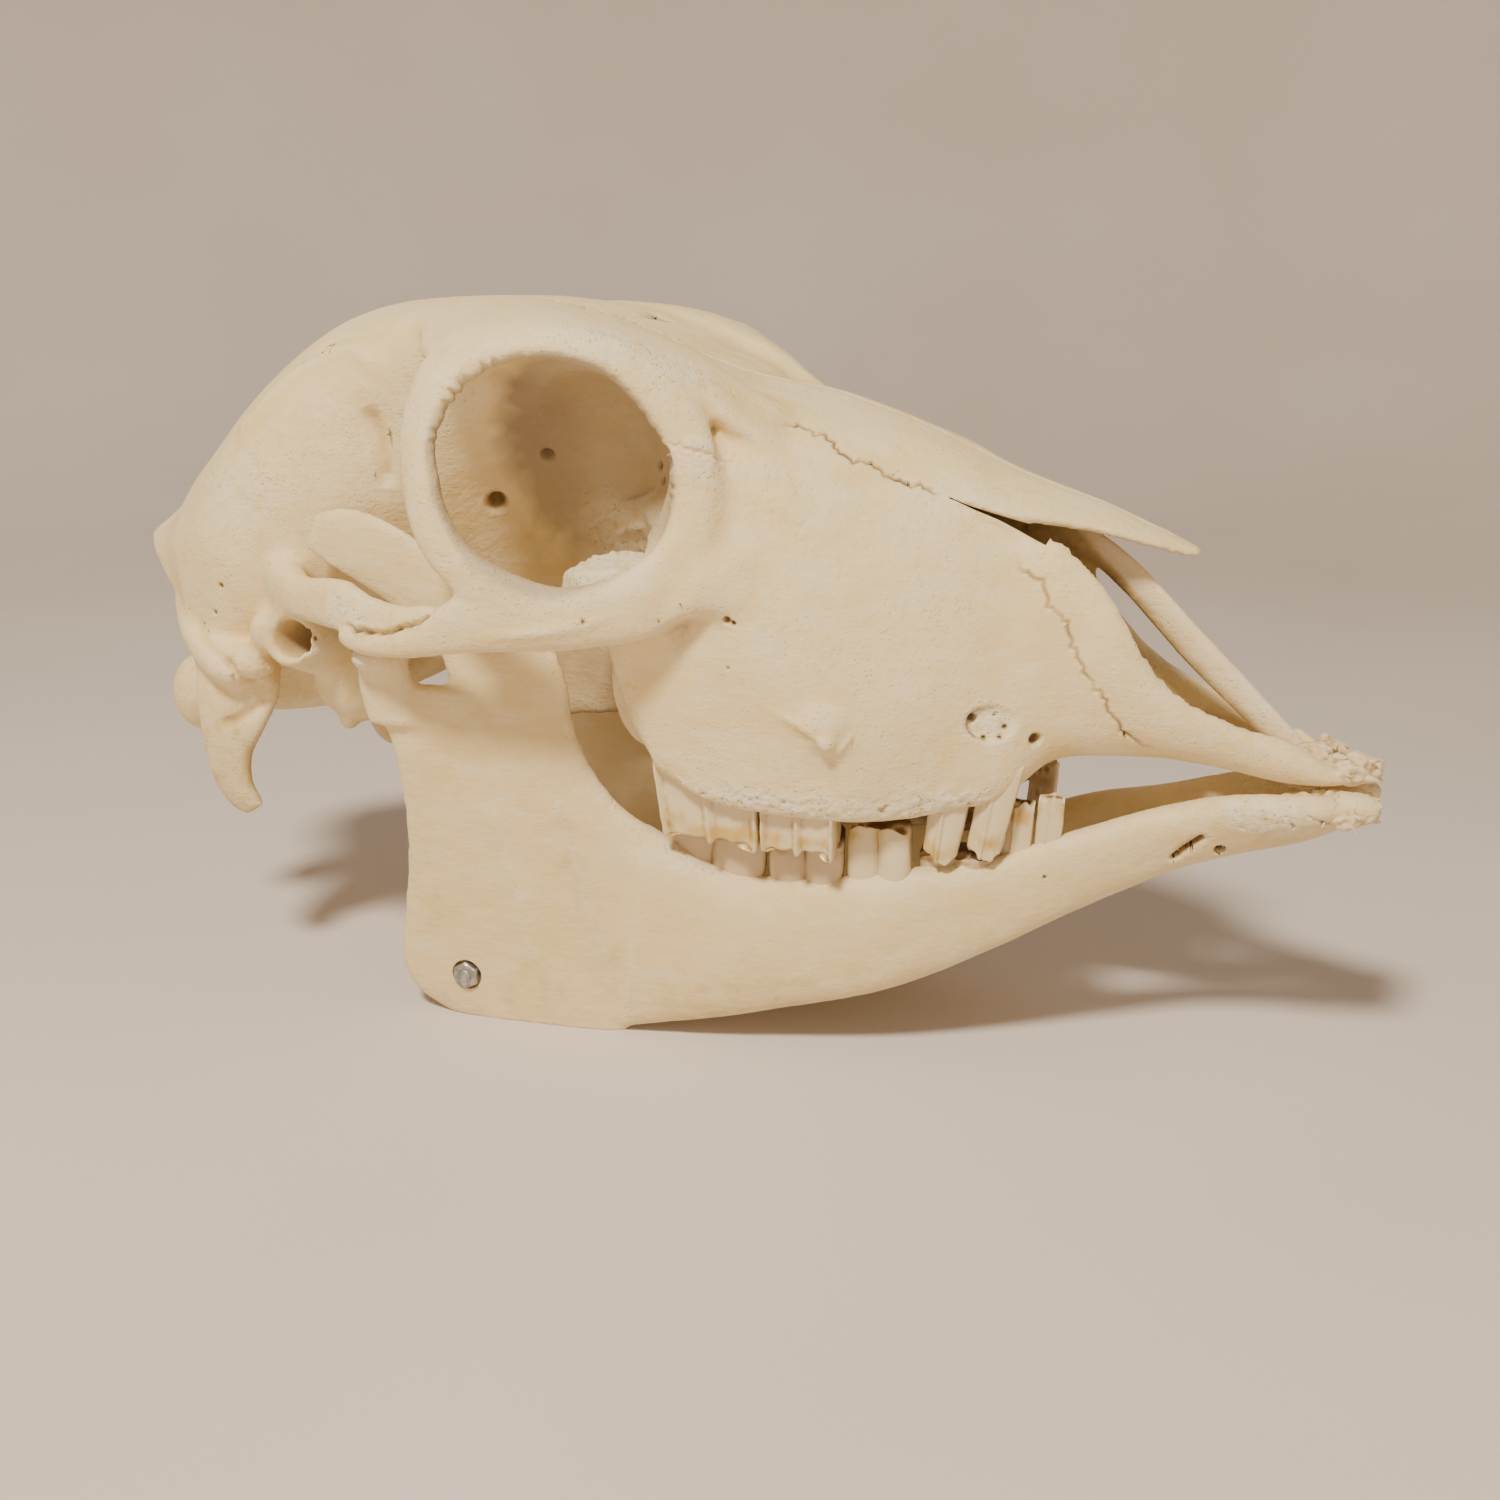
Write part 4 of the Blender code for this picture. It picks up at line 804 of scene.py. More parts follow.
HOLES = [  # centre on one side, radius, depth
    ((-51.5, 17.8, 112.0), 2.1, 2.6), ((-38.8, 18.3, 122.5), 1.3, 2.0), ((8.9, 39.7, 94.3), 0.75, 1.4),
    ((10.2, 39.5, 93.7), 0.55, 1.0), ((9.0, 39.5, 84.7), 0.4, 0.5), ((67.1, 20.5, 70.2), 1.2, 2.0),
    ((55.3, 25.9, 74.9), 0.9, 1.6), ((57.8, 25.4, 70.8), 0.55, 0.9), ((59.4, 24.5, 75.6), 0.5, 0.8),
    ((61.4, 23.6, 73.0), 0.6, 0.8), ((60.6, 24.0, 71.0), 0.5, 0.7), ((-111.1, 35.7, 93.2), 0.65, 0.8),
    ((-114.7, 33.8, 86.6), 0.65, 0.8), ((-97.0, 37.0, 98.6), 0.55, 0.8), ((-15.7, 52.9, 94.8), 0.5, 0.7),
    ((-26, 15, 153), 1.3, 1.6), ((-12.9, 19.4, 121.4), 0.9, 1.2), ((-11.9, 20.8, 118.5), 0.8, 1.2),
]
DENTS = [  # centre on one side, radius, depth
    ((-72, 33.5, 128), 5.0, 1.0), ((28.5, 38, 64.5), 3.5, 0.7),
]
# The stain column paints sunk lines brown and darker: painted shade in the grooves.
FOLDS = [  # raised (or, with a minus, sunk) lines: line on one side, width, height, chalk, stain
    (((0, 40.5, 128.6), (6, 37, 127), (12, 33, 126)), 1.6, 0.35, 0.9, 0.0),
    (((-44.8, 56.0, 90.5), (-32.0, 56.0, 92.0), (-23.1, 55.0, 92.8), (-15.1, 51.0, 94.5),
      (-9.6, 47.0, 97.2), (-5.6, 43.5, 102.0)), 1.5, 0.8, 0.15, 0.0),
    (((18, 39, 76.5), (24, 39.6, 73.8), (28.1, 39.8, 71.4), (30.4, 37.6, 67.9)), 1.1, 0.65, 0.2, 0.0),
    (((34, 36.6, 73), (32.6, 37.2, 70.6), (30.5, 37.5, 68)), 0.9, 0.5, 0.2, 0.0),
    (((-34, 11.5, 106), (-27, 13.5, 110), (-20, 16.5, 111.5)), 1.0, 1.0, 0.9, 0.0),
    (((-30, 12, 103), (-23, 14.5, 107), (-15, 19, 109)), 1.1, 1.2, 0.9, 0.0),
    (((-24, 15, 112.5), (-18, 18.4, 114), (-14, 20.5, 117)), 0.9, 0.9, 0.8, 0.0),
    (((-73.8, 32.1, 132.9), (-72, 31.7, 127.8), (-70.7, 30.7, 121.5), (-71.1, 29.5, 115.1)),
     2.0, -1.3, 0.0, 0.45),
    (((-108, 29, 126), (-103.8, 30, 128.9), (-91.6, 28.1, 139.5), (-78.5, 28.9, 143.9), (-69.4, 32.5, 140.1)),
     2.2, 1.0, 0.1, 0.0),
    (((-124, 31, 84.5), (-118, 35, 81.5), (-111, 38.5, 78.5), (-107, 38, 74.5), (-104, 31.8, 69.3)),
     1.5, -1.9, 0.0, 0.6),
    (((-115.4, 34.5, 60.4), (-108.8, 33.9, 63.6), (-103.1, 30.7, 68.4)), 1.4, -1.2, 0.0, 0.4),
    (((1.6, 43.6, 106.3), (-1.2, 46.1, 98.2), (-5.6, 47.5, 91.9)), 3.0, -0.6, 0.0, 0.0),
]
INFRA, INFRA_RADII, INFRA_DEEP = (58.8, 24.8, 73.8), (4.8, 5.0, 3.5), 1.5
# Yellow-brown stains, and painted shade where the bone lies in shade: behind the last cheek teeth, in the ear
# opening and low in the orbit.
STAINS_AND_SHADE = both([
    ((-39.0, 33, 138.7), (4.2, 4, 2.2), 0.75), ((-34, 19, 114), (20, 12, 15), 0.2),
    ((-100, 34, 106), (22, 8, 10), 0.2), ((-72, 32, 122), (9, 8, 16), 0.2), ((-60, 50, 92), (12, 6, 6), 0.12),
    ((80, 17, 82), (9, 5, 10), 0.16), ((66, 16, 108), (8, 6, 6), 0.3), ((98, 9, 68), (14, 6, 4), 0.3),
    ((-132, 14, 70), (14, 12, 12), 0.40), ((-92, 38, 84), (7, 7, 6), 0.4), ((-80, 22, 66), (18, 14, 8), 0.35),
    ((-113, 32, 52), (10, 6, 16), 0.7), ((-18, 16, 76), (26, 8, 14), 0.8),
    ((-128, 22, 104), (18, 14, 20), 0.3), ((-86, 32, 118), (24, 10, 18), 0.22),
    ((-92.5, 38, 84), (4, 5, 4), 0.8),
    ((-12, 28, 74), (8, 8, 14), 0.3), ((44, 30, 92), (12, 8, 10), 0.1), ((14, 30, 122), (10, 8, 6), 0.1),
    ((0, 10, 66), (60, 22, 5), 0.25), ((14, 33, 58), (30, 6, 3), 0.12),
]) + [((-120, 0, 80), (20, 14, 14), 0.5), ((40, 0, 90), (40, 16, 22), 0.5)]
CHALKS = both([
    ((-17, 34, 103), (12, 12, 7), 1.0), ((-24, 14, 108), (12, 6, 7), 0.8),
    ((16, 36.5, 56.5), (28, 6, 3.2), 1.0),
    ((48, 28, 57.5), (11, 5, 3.2), 0.9), (INFRA, (5, 4, 3.6), 0.9),
    ((-32, 54, 97), (20, 5, 4), 0.2), ((-68, 50, 92), (8, 4, 4), 0.5), ((-14, 43, 147), (9, 6, 3), 0.55),
    ((-2, 35, 141), (9, 6, 3), 0.5), ((6, 37, 124), (9, 6, 3), 0.5), ((46, 19, 118), (18, 4, 3), 0.35),
    ((29, 39, 72), (5, 4, 4), 0.35), ((-60, 33, 136), (10, 6, 8), 0.35), ((-104, 33, 112), (12, 6, 10), 0.3),
]) + [((-146, 0, 92), (6, 14, 14), 0.6), ((-132, 0, 108), (8, 24, 8), 0.35)]

RIM_EDGE = smooth_rows([row[0] for row in RIM], 6)
TOOTH_EDGE = smooth_rows([(-8.9, 34.6, 59.5), (-2.8, 35.9, 59), (2.8, 36.3, 56.9), (8.5, 37.2, 56.7),
                          (14.9, 37.2, 56.7), (22.9, 36.3, 55.4), (30.6, 34.9, 54.9), (39.9, 31.9, 55.8),
                          (48.2, 28.3, 56.9), (57.4, 24.7, 58)], 3)
marks = CRACKS + MIDLINE + ACROSS


def spongy(at):
    """How open and spongy the bone is: along the edge that bears the teeth, and low in each orbit."""
    edge = np.clip(1.5 - off_line(on_left(at), TOOTH_EDGE)[0] / 2.4, 0, 1)
    return edge, blob(at, both([((-17, 33, 103), (11, 11, 6), 1.0), ((-24, 15, 106), (9, 6, 6), 0.6)]))


def fine_places(at):
    """Where the cranium needs its finest points: cracks, holes, orbit rims, tooth-bearing edge."""
    picked = np.zeros(len(at), bool)
    folded = on_left(at)
    for line, *_ in CRACKS + MIDLINE:
        picked |= off_line(folded, smooth_rows(line, 3))[0] < 2.4
    for centre, radius, _ in HOLES:
        picked |= np.linalg.norm(folded - centre, axis=1) < 2 * radius + 0.8
    for line, wide, *_ in FOLDS:
        picked |= off_line(folded, smooth_rows(line, 2))[0] < 1.6 * wide
    picked |= off_line(folded, RIM_EDGE)[0] < 2.4
    picked |= np.linalg.norm((folded - INFRA) / INFRA_RADII, axis=1) < 1.5
    picked |= (folded[:, 2] < 61) & (np.abs(folded[:, 0] - 26) < 42) & (folded[:, 1] > 22)
    return picked


SKULL_TRIANGLES, SKULL_EDGE = 88000, 0.68    # how many at first, and the longest edge in a fine place
at, _ = places(cranium)
keep = fine_places(at) | (blob(at, CHALKS) > 0.5) & (at[:, 1] < 0)
thin_out(cranium, SKULL_TRIANGLES, keep)
split_edges(cranium, fine_places, SKULL_EDGE)

# Orbit rims: a row of small teeth of bone along the upper rear edge, and a rougher one in front

ORBIT_X, ORBIT_Z, RIM_ROUND = -24, 122, 128    # middle of the orbit, and the way round its rim
at, _ = places(cranium)
for side in SIDES:
    edge = RIM_EDGE * (1, side, 1)
    gap, share = off_line(at, edge)
    run = share * RIM_ROUND
    teeth_here = (np.clip(1 - np.abs(share - 0.86) / 0.13, 0, 1)
                  + 0.8 * np.clip(1 - np.abs(share - 0.22) / 0.1, 0, 1))
    wave = np.sin(run * 2 * math.pi / 3.4 + 1.5 * np.sin(run * 0.7)) + 0.4 * np.sin(run * 2 * math.pi / 1.9)
    centre = np.array([ORBIT_X, side * 44, ORBIT_Z])
    inward = centre - at
    inward /= np.linalg.norm(inward, axis=1)[:, None]
    at += inward * (0.75 * teeth_here * wave * np.exp(-(gap / 1.7) ** 2))[:, None]
    hook = np.linalg.norm(at - (-5.8, side * 39.5, 124.8), axis=1)
    at += inward * (1.6 * np.exp(-(hook / 1.3) ** 2) - 1.3 * np.exp(-((hook - 2.6) / 1.0) ** 2))[:, None]
put(cranium, at)

# Uneven growth over the whole bone, stronger where it is porous

chalk = blob(at, CHALKS)
at, out = places(cranium)
swell = 0.35 * rough(at, 16.0, 3.1) + 0.10 * rough(at, 5.0, 7.7)
fizz = rough(at, 1.5, 1.3)
edge_bone, foam = spongy(at)
clot = rough(at, 3.6, 5.9) + 0.7 * rough(at, 1.5, 2.4)
beads = rough(at, 1.25, 6.6) + 0.5 * rough(at, 2.6, 9.2)
at += out * (swell + 0.22 * chalk * fizz + 1.1 * foam * clot + 0.24 * edge_bone * beads)[:, None]
put(cranium, at)

# Cracks, folds, dents and holes

tree = surface_tree(cranium)
laid = []
for number, (line, wide, deep, dirt, swing) in enumerate(marks):
    for side in SIDES if number < len(CRACKS) else (1,):
        path = jagged(np.array(line) * (1, side, 1), 0.8, swing, tree, number * 3.7 + side)
        laid.append((path, wide, deep, dirt, number))


def crack_places(at):
    picked = np.zeros(len(at), bool)
    for path, *_ in laid:
        picked |= off_line(at, path)[0] < 0.95
    return picked


CRACK_EDGE = 0.38      # longest edge beside a crack
split_edges(cranium, crack_places, CRACK_EDGE)
at, out = places(cranium)
folded = on_left(at)
chalk = blob(at, CHALKS)
stain_and_shade = blob(at, STAINS_AND_SHADE)
grime_and_shade = np.zeros(len(at))
depth = np.zeros(len(at))
for path, wide, deep, dirt, number in laid:
    gap, share = off_line(at, path)
    patchy = 0.85 + 0.22 * np.sin(share * 31 + number) * np.sin(share * 12 + 2 * number)
    ends = np.clip(np.minimum(share, 1 - share) * 9, 0.15, 1)
    depth += deep * patchy * ends * np.exp(-(gap / wide) ** 2)
    grime_and_shade = np.maximum(grime_and_shade, dirt * patchy * ends * np.exp(-(gap / (wide * 0.8)) ** 2))
    stain_and_shade = np.maximum(stain_and_shade, 0.45 * dirt * ends * np.exp(-(gap / 1.3) ** 2))
for line, wide, high, white, brown in FOLDS:
    gap, share = off_line(folded, smooth_rows(line, 4))
    here = np.exp(-(gap / wide) ** 2) * np.clip(np.minimum(share, 1 - share) * 6, 0.1, 1)
    depth -= high * here
    chalk = np.maximum(chalk, white * here)
    stain_and_shade = np.maximum(stain_and_shade, brown * here)
    # Sunk lines are also painted darker: painted shade in the groove.
    if high < 0:
        grime_and_shade = np.maximum(grime_and_shade, 0.7 * brown * here)
# Each hole is dented and painted dark inside, painted shade, with a brown ring round it.
for centre, radius, deep in HOLES:
    for side in SIDES:
        spot, _, _, _ = tree.find_nearest(Vector((centre[0], side * centre[1], centre[2])))
        gap = np.linalg.norm(at - np.array(spot), axis=1)
        depth += deep * np.exp(-(gap / radius) ** 4)
        grime_and_shade = np.maximum(grime_and_shade, 0.95 * np.exp(-(gap / (radius * 1.05)) ** 4))
        stain_and_shade = np.maximum(stain_and_shade, 0.35 * np.exp(-(gap / (radius * 2.0)) ** 2))
for centre, radius, deep in DENTS:
    gap = np.linalg.norm(folded - centre, axis=1)
    depth += deep * np.exp(-(gap / radius) ** 2)
edge_bone, foam = spongy(at)
# The porous pits are dented and painted darker: dirt and painted shade.
pits = np.clip((rough(at, 1.3, 4.2) - 0.34) * 6, 0, 1) * np.maximum(edge_bone, foam)
depth += 0.35 * pits
grime_and_shade = np.maximum(grime_and_shade, 0.6 * pits)

# The oval hollow over the last front cheek tooth, with a sharp rear edge

oval = np.linalg.norm((folded - INFRA) / INFRA_RADII, axis=1)
bowl = 1 / (1 + np.exp(np.clip((oval - 1) / 0.07, -30, 30)))
rear = np.clip((INFRA[0] + 1 - at[:, 0]) / 4, 0, 1)
depth += INFRA_DEEP * bowl * (0.5 + 0.5 * rear)
# Painted shade along the hollow's sharp rear edge.
grime_and_shade = np.maximum(grime_and_shade, 0.75 * rear * np.exp(-((oval - 0.97) / 0.1) ** 2))
LOW_CORNER, HIGH_CORNER = (-150.0, -59.1, 0), (136, 59.1, 154.7)     # the bone stays inside these
put(cranium, np.clip(at - out * depth[:, None], LOW_CORNER, HIGH_CORNER))

# Colour marks: painted shade and dirt in the hollows, deepest inside the orbits and the closed-in places, and
# lighter on sharp ridges.

sunk = hollowness(cranium, 70)
pinched = hollowness(cranium, 8)
at, out = places(cranium)
folded = on_left(at)
radial = (folded - (ORBIT_X, 0, ORBIT_Z)) * (1, 0, 1)
reach = np.linalg.norm(radial, axis=1)
inward = np.clip(-2.5 * (out * radial).sum(1) / reach, 0, 1)
# The inside of each orbit, where most of the painted shade goes.
socket = np.clip((24 - reach) / 2, 0, 1) * np.maximum(inward, np.clip((36 - folded[:, 1]) / 6, 0, 1))
socket *= 1 - 0.85 * np.clip(1.6 * spongy(at)[1], 0, 1)
# Painted shade in closed-in nooks: behind the last cheek teeth and in the ear opening.
painted_shade_nooks = blob(at, both([((-18, 15, 76), (24, 8, 13), 0.5), ((-90, 33, 83), (5, 6, 4), 0.6)]))
# Painted shade in the hollows, darker the deeper a point lies, and in tight creases.
grime_and_shade = np.maximum(grime_and_shade, np.clip((sunk - 1.5) / 4, 0, 0.35) * (1 - socket) + np.clip(pinched / 0.7, 0, 0.25))
# Browner in the hollows, painted shade, and a little browner towards the bottom.
note(cranium, "stain_and_shade", stain_and_shade + np.clip(sunk / 5, 0, 0.2) * (1 - socket)
     + np.clip((100 - at[:, 2]) / 900, 0, 0.06))
# Lighter on sharp ridges.
note(cranium, "chalk", chalk + np.clip(-pinched / 0.35, 0, 0.3))
note(cranium, "grime_and_shade", grime_and_shade)
# Painted shade inside the orbits, more on their rear walls, and in the closed-in nooks.
rear_wall = blob(at, both([((-40, 32, 122), (10, 16, 18), 0.3)]))
note(cranium, "painted_shade", np.maximum((0.55 + rear_wall) * socket, painted_shade_nooks))

skull_paint = bone_material("bleached_bone", (0.84, 0.66, 0.345), (0.81, 0.61, 0.275), (0.87, 0.77, 0.54))
finished(cranium, "skull_bone", skull_paint)
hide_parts("cranium")
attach(cranium, "root")


# Cheek teeth: tall ribbed pegs of enamel and tooth bone, each grown into its own socket. The chewing
# edges are worn to scallops, and the faces stained yellow to brown toward them.

def tooth_material(name, ivory, stained, dark):
    """Enamel: ivory at the gum line, upright streaks of yellow stain, brown toward the chewing edge, and dark
    patches that also carry painted shade in the grooves and on the inner face.
    """
    paint = Paint(name, 0.5, 0.5, True)
    cloud, sums, between, blend = paint.cloud, paint.sums, paint.between, paint.blend
    paint.feed(paint.inputs["Coat Weight"], 0.12)
    paint.feed(paint.inputs["Coat Roughness"], 0.3)
    streaks = sums("SUBTRACT", cloud(420, 4, (1, 1, 0.22)), 0.5)
    tone = blend(between(sums("ADD", paint.noted("stain_and_shade"), streaks), 0.2, 0.75), ivory, stained)
    patches = sums("ADD", paint.noted("grime_and_shade"), sums("MULTIPLY", cloud(300, 4), 0.5))
    tone = blend(between(patches, 0.42, 1.1), tone, dark)
    paint.feed(paint.inputs["Base Color"], tone)
    paint.feed(paint.inputs["Roughness"], sums("ADD", sums("MULTIPLY", cloud(200, 3), 0.25), 0.22))
    paint.relief(cloud(700, 3, (1, 1, 0.3)), 0.4, 0.0004)
    return paint.made


ROOT_DEEP = 11         # length of root that one whole level below the neck stands for


def tooth(side, row, seed):
    """One cheek tooth, ring by ring from the root to the chewing edge.

    x is (neck rear, neck front, tip rear, tip front), y is (outer face, depth inward),
    z is (neck rear, neck front, tip outer, tip inner), wide the share of depth at the tip."""
    (neck_rear, neck_front, tip_rear, tip_front), (outer, depth), z, wide, ribs = row
    z_rear, z_front, tip_out, tip_in = z
    up = 1 if z_rear > tip_out else -1
    plan, spikes = [], []
    for i in range(33):   # outer face, rear to front: (share of length, share of depth), and edge drop
        share = i / 32
        hump = abs(math.sin(math.pi * share * max(ribs, 1)))
        if ribs and up > 0:
            rib = max(math.exp(-((share - 0.02 - 0.96 * k / ribs) / 0.038) ** 2) for k in range(ribs + 1))
            drop = max((0.6, 1.2, 2.2)[k] * math.exp(-((share - 0.02 - 0.96 * k / ribs) / 0.06) ** 2)
                       for k in range(ribs + 1))
            plan.append((share, 0.15 * (1 - max(rib, 0.3 * hump))))
            spikes.append(drop + 0.6 * hump - 2.2)
        elif ribs:
            plan.append((share, 0.25 * (1 - hump ** 0.55)))
            spikes.append(1.5 * hump ** 1.5 - 1.0)
        else:
            ridge = math.exp(-((share - 0.42) / 0.13) ** 2)
            plan.append((share, 0.26 * (1 - max(hump ** 0.7 * 0.72, ridge))))
            spikes.append(2.2 * math.exp(-((share - 0.68) / 0.3) ** 2) - 1.9)
    inner = [(0.985, 0.45), (0.97, 0.8), (0.87, 0.97), (0.74, 1.0), (0.6, 0.96), (0.5, 0.9 if ribs else 1.0),
             (0.4, 0.96), (0.26, 1.0), (0.13, 0.97), (0.03, 0.8), (0.015, 0.45)]
    plan += inner
    rings = []
    for level in (-0.4, -0.2, 0.0, 0.14, 0.28, 0.42, 0.56, 0.7, 0.82, 0.92, 0.98, 1.0, 1.001):
        ring = []
        for spot, (share, deep) in enumerate(plan):
            shrink = 0.12 * (neck_front - neck_rear) * max(0.0, -level)
            if level > 0.98:
                shrink += (0.03 if level <= 1 else 0.2) * (neck_front - neck_rear)
            rear = neck_rear + (tip_rear - neck_rear) * level + shrink
            front = neck_front + (tip_front - neck_front) * level - shrink
            worn = 0.06 if level > 0.98 else 0.0
            into = worn + deep * (1 - 2 * worn)
            px = rear + share * (front - rear)
            py = outer - into * depth * (1 + (wide - 1) * max(level, 0)) - 0.1 * depth * max(0.0, -level)
            neck = z_rear + (z_front - z_rear) * share
            chip = 0.55 * noise.noise(Vector((share * 7, seed, 0.3)))
            drop = (spikes[spot] if spot < len(spikes) else 0.2) + chip
            tip = tip_out + (tip_in - tip_out) * deep - up * drop
            pz = neck + (tip - neck) * level if level > 0 else neck + up * -level * ROOT_DEEP
            if level > 1:
                pz += up * 0.9
            ring.append((px, side * py, pz))
        rings.append(ring)
    bm = bmesh.new()
    skin(bm, rings)
    bmesh.ops.triangulate(bm, faces=[f for f in bm.faces if len(f.verts) > 4])
    made = solid("tooth", bm)
    round_off = made.modifiers.new("round", "SUBSURF")
    round_off.levels = round_off.render_levels = 1
    settle(made)
    at, out = places(made)
    height = (at[:, 2] - z_rear) / (tip_out - z_rear)
    crown = np.clip(height, 0, 1)
    facets = (0.30 * rough(at, 3.2, seed) + 0.16 * rough(at, 1.6, seed + 3)
              + 0.06 * rough(at, 0.8, seed + 5))
    at += out * (facets * (0.3 + 0.7 * crown))[:, None]
    put(made, at)
    groove = hollowness(made, 10)
    band = np.exp(-((height - 0.72) / 0.22) ** 2)
    lumps = 0.5 + 0.7 * rough(at, 4.0, seed + 9)
    # Stain in a band under the chewing edge; browner and darker in the grooves and on the inner face, painted
    # shade; brown at the chewing edge.
    note(made, "stain_and_shade", band * np.clip(lumps, 0, 1) * 0.8 + np.clip(groove / 0.45, 0, 0.6) * crown)
    inside = np.clip((outer - side * at[:, 1] - 1.5) / 3, 0, 1)
    note(made, "grime_and_shade", np.clip(height - 0.9, 0, 1) * 1.5 + np.clip(groove / 0.35, 0, 0.55) + 0.5 * inside)
    return made


UPPER_LEFT = {
    "m3": ((-9.8, 13.0, -7.5, 13.4), (34.9, 11.6), (61, 56.5, 44.2, 49.2), 1.0, 2),
    "m2": ((13.5, 29.3, 13.9, 29.4), (34.7, 11.6), (56.4, 55.5, 43.6, 48.8), 1.0, 2),
    "m1": ((29.8, 41.8, 30.0, 41.6), (32.0, 10.6), (55.4, 55.6, 43.6, 48.4), 1.0, 2),
    "p4": ((42.4, 50.0, 42.1, 49.8), (28.4, 8.6), (55.6, 56.5, 44.2, 48.0), 1.0, 0),
    "p3": ((50.6, 57.4, 50.3, 57.1), (25.4, 7.8), (56.7, 58.2, 45.0, 48.2), 1.0, 0),
    "p2": ((58.0, 64.3, 57.6, 63.6), (23.4, 5.0), (58.4, 60.5, 47.2, 49.6), 1.0, 0),
}
UPPER_RIGHT = {
    "m3": UPPER_LEFT["m3"],
    "m2": UPPER_LEFT["m2"],
    "p3": ((46.6, 55.0, 45.6, 52.6), (25.9, 8.3), (56.6, 57.8, 43.0, 47.0), 0.95, 0),
    "p2": ((55.8, 64.4, 54.2, 61.0), (23.4, 6.2), (58.2, 60.6, 44.0, 46.8), 1.0, 0),
}

lit_enamel = tooth_material("lit_tooth_enamel", (0.74, 0.60, 0.36), (0.60, 0.40, 0.11),
                              (0.18, 0.095, 0.04))
for side, row in ((-1, UPPER_RIGHT), (1, UPPER_LEFT)):
    for number, (label, numbers) in enumerate(row.items()):
        place = f"upper_{'right' if side < 0 else 'left'}_{label}"
        crown = finished(tooth(side, numbers, 2.3 * number + side), place + "_crown", lit_enamel)
        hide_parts(place)
        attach(crown, "root")

# The strip of dried gristle that runs down the middle of the nose opening, and the brown sheet of it that is
# left under the nose bones. Its colour is painted light and shade: pale along its upper edge, which faces the
# light, and brown below it, where the gristle's own brown is deepened into shade.

STRIP_VOXEL = 0.55
strip_bm = bmesh.new()
blade(strip_bm, [
    ((60, 0, 115), (60, 0, 104), 2.2),
    ((70.4, 0, 111.5), (71, 0, 104.0), 2.4),
    ((82.3, 0, 103.6), (80.4, 0, 97.0), 2.8),
    ((96.2, 0, 90.0), (93.3, 0, 83.8), 3.2),
    ((108.6, 0, 78.0), (105.4, 0, 72.8), 3.4),
    ((119, 0, 67.5), (116, 0, 64.4), 3.6),
], sides=(1,), per_span=14, around=28)
blade(strip_bm, [
    ((40, 0, 122), (40, 0, 84), 1.6),
    ((56, 0, 114), (56, 0, 82), 1.6),
    ((66, 0.4, 111), (67, 0, 86), 1.4),
    ((74, 0.2, 106), (75, 0, 90), 1.2),
], sides=(1,), per_span=10, around=24)
strip = solid("strip", strip_bm)
grow_together(strip, STRIP_VOXEL)
relax(strip, 4, fill=0.7, wear=0.2)
at, out = places(strip)
at += out * (0.10 * rough(at, 6.0, 4.4) + 0.04 * rough(at, 1.0, 8.1))[:, None]
put(strip, at)
at, out = places(strip)
lower_line = smooth_rows([(60, 0, 104), (71, 0, 104.8), (81, 0, 98.2), (94, 0, 85.2), (106, 0, 73.8),
                          (116, 0, 64.4)], 4)
under_edge = off_line(at, lower_line)[0]
# Painted light along the upper edge, and painted shade below it.
painted_lit_edge = np.clip((under_edge - 1.0) / 1.2, 0, 1) * np.clip((at[:, 0] - 63) / 5, 0, 1)
painted_lit_edge *= np.clip((at[:, 2] - (97 - 1.15 * (at[:, 0] - 82))) / 3 + 0.5, 0, 1)
note(strip, "chalk", 0.35 * painted_lit_edge)
note(strip, "stain_and_shade", 0.9 - 0.85 * painted_lit_edge)
note(strip, "grime_and_shade", 0.5 - 0.5 * painted_lit_edge + 0.1 * rough(at, 5.0, 2.2))
gristle = bone_material("dried_gristle", (0.84, 0.67, 0.41), (0.80, 0.59, 0.31), (0.88, 0.77, 0.57))
finished(strip, "midline_gristle", gristle)
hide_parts("cranium")
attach(strip, "root")

# Dried gum: ragged crusts at the tip of the snout and of the jaws, where the pad and the front teeth
# sat, built up from small lumps and splinters.

def crust(name, lumps, splinters, side, voxel, seed):
    bm = bmesh.new()
    for centre, radii in lumps:
        egg(bm, centre, radii, sides=(side,), steps=16)
    for (x, y, z), (dx, dy, dz), thick in splinters:
        tube(bm, [(x, y, z), (x + dx / 2, y + dy / 2, z + dz / 2 + 0.3), (x + dx, y + dy, z + dz)],
             [thick, thick * 0.7, thick * 0.25], sides=(side,), around=8)
    made = solid(name, bm)
    grow_together(made, voxel)
    relax(made, 2, fill=0.5, wear=0.1)
    at, out = places(made)
    heave = 0.9 * rough(at, 3.2, seed) + 0.7 * rough(at, 1.3, seed + 4)
    at += out * np.clip(heave, -1.1, 0.5)[:, None]
    put(made, at)
    pit = hollowness(made, 14)
    at, out = places(made)
    # Stained brown; darker in the pits, painted shade, and lighter on the points.
    note(made, "stain_and_shade", 0.6 + 0.4 * rough(at, 4.0, seed + 2) + np.clip(pit, 0, 0.5))
    note(made, "chalk", np.clip(-pit / 0.4, 0, 0.6))
    note(made, "grime_and_shade", np.clip(pit / 0.7, 0, 0.75) + 0.15)
    return made


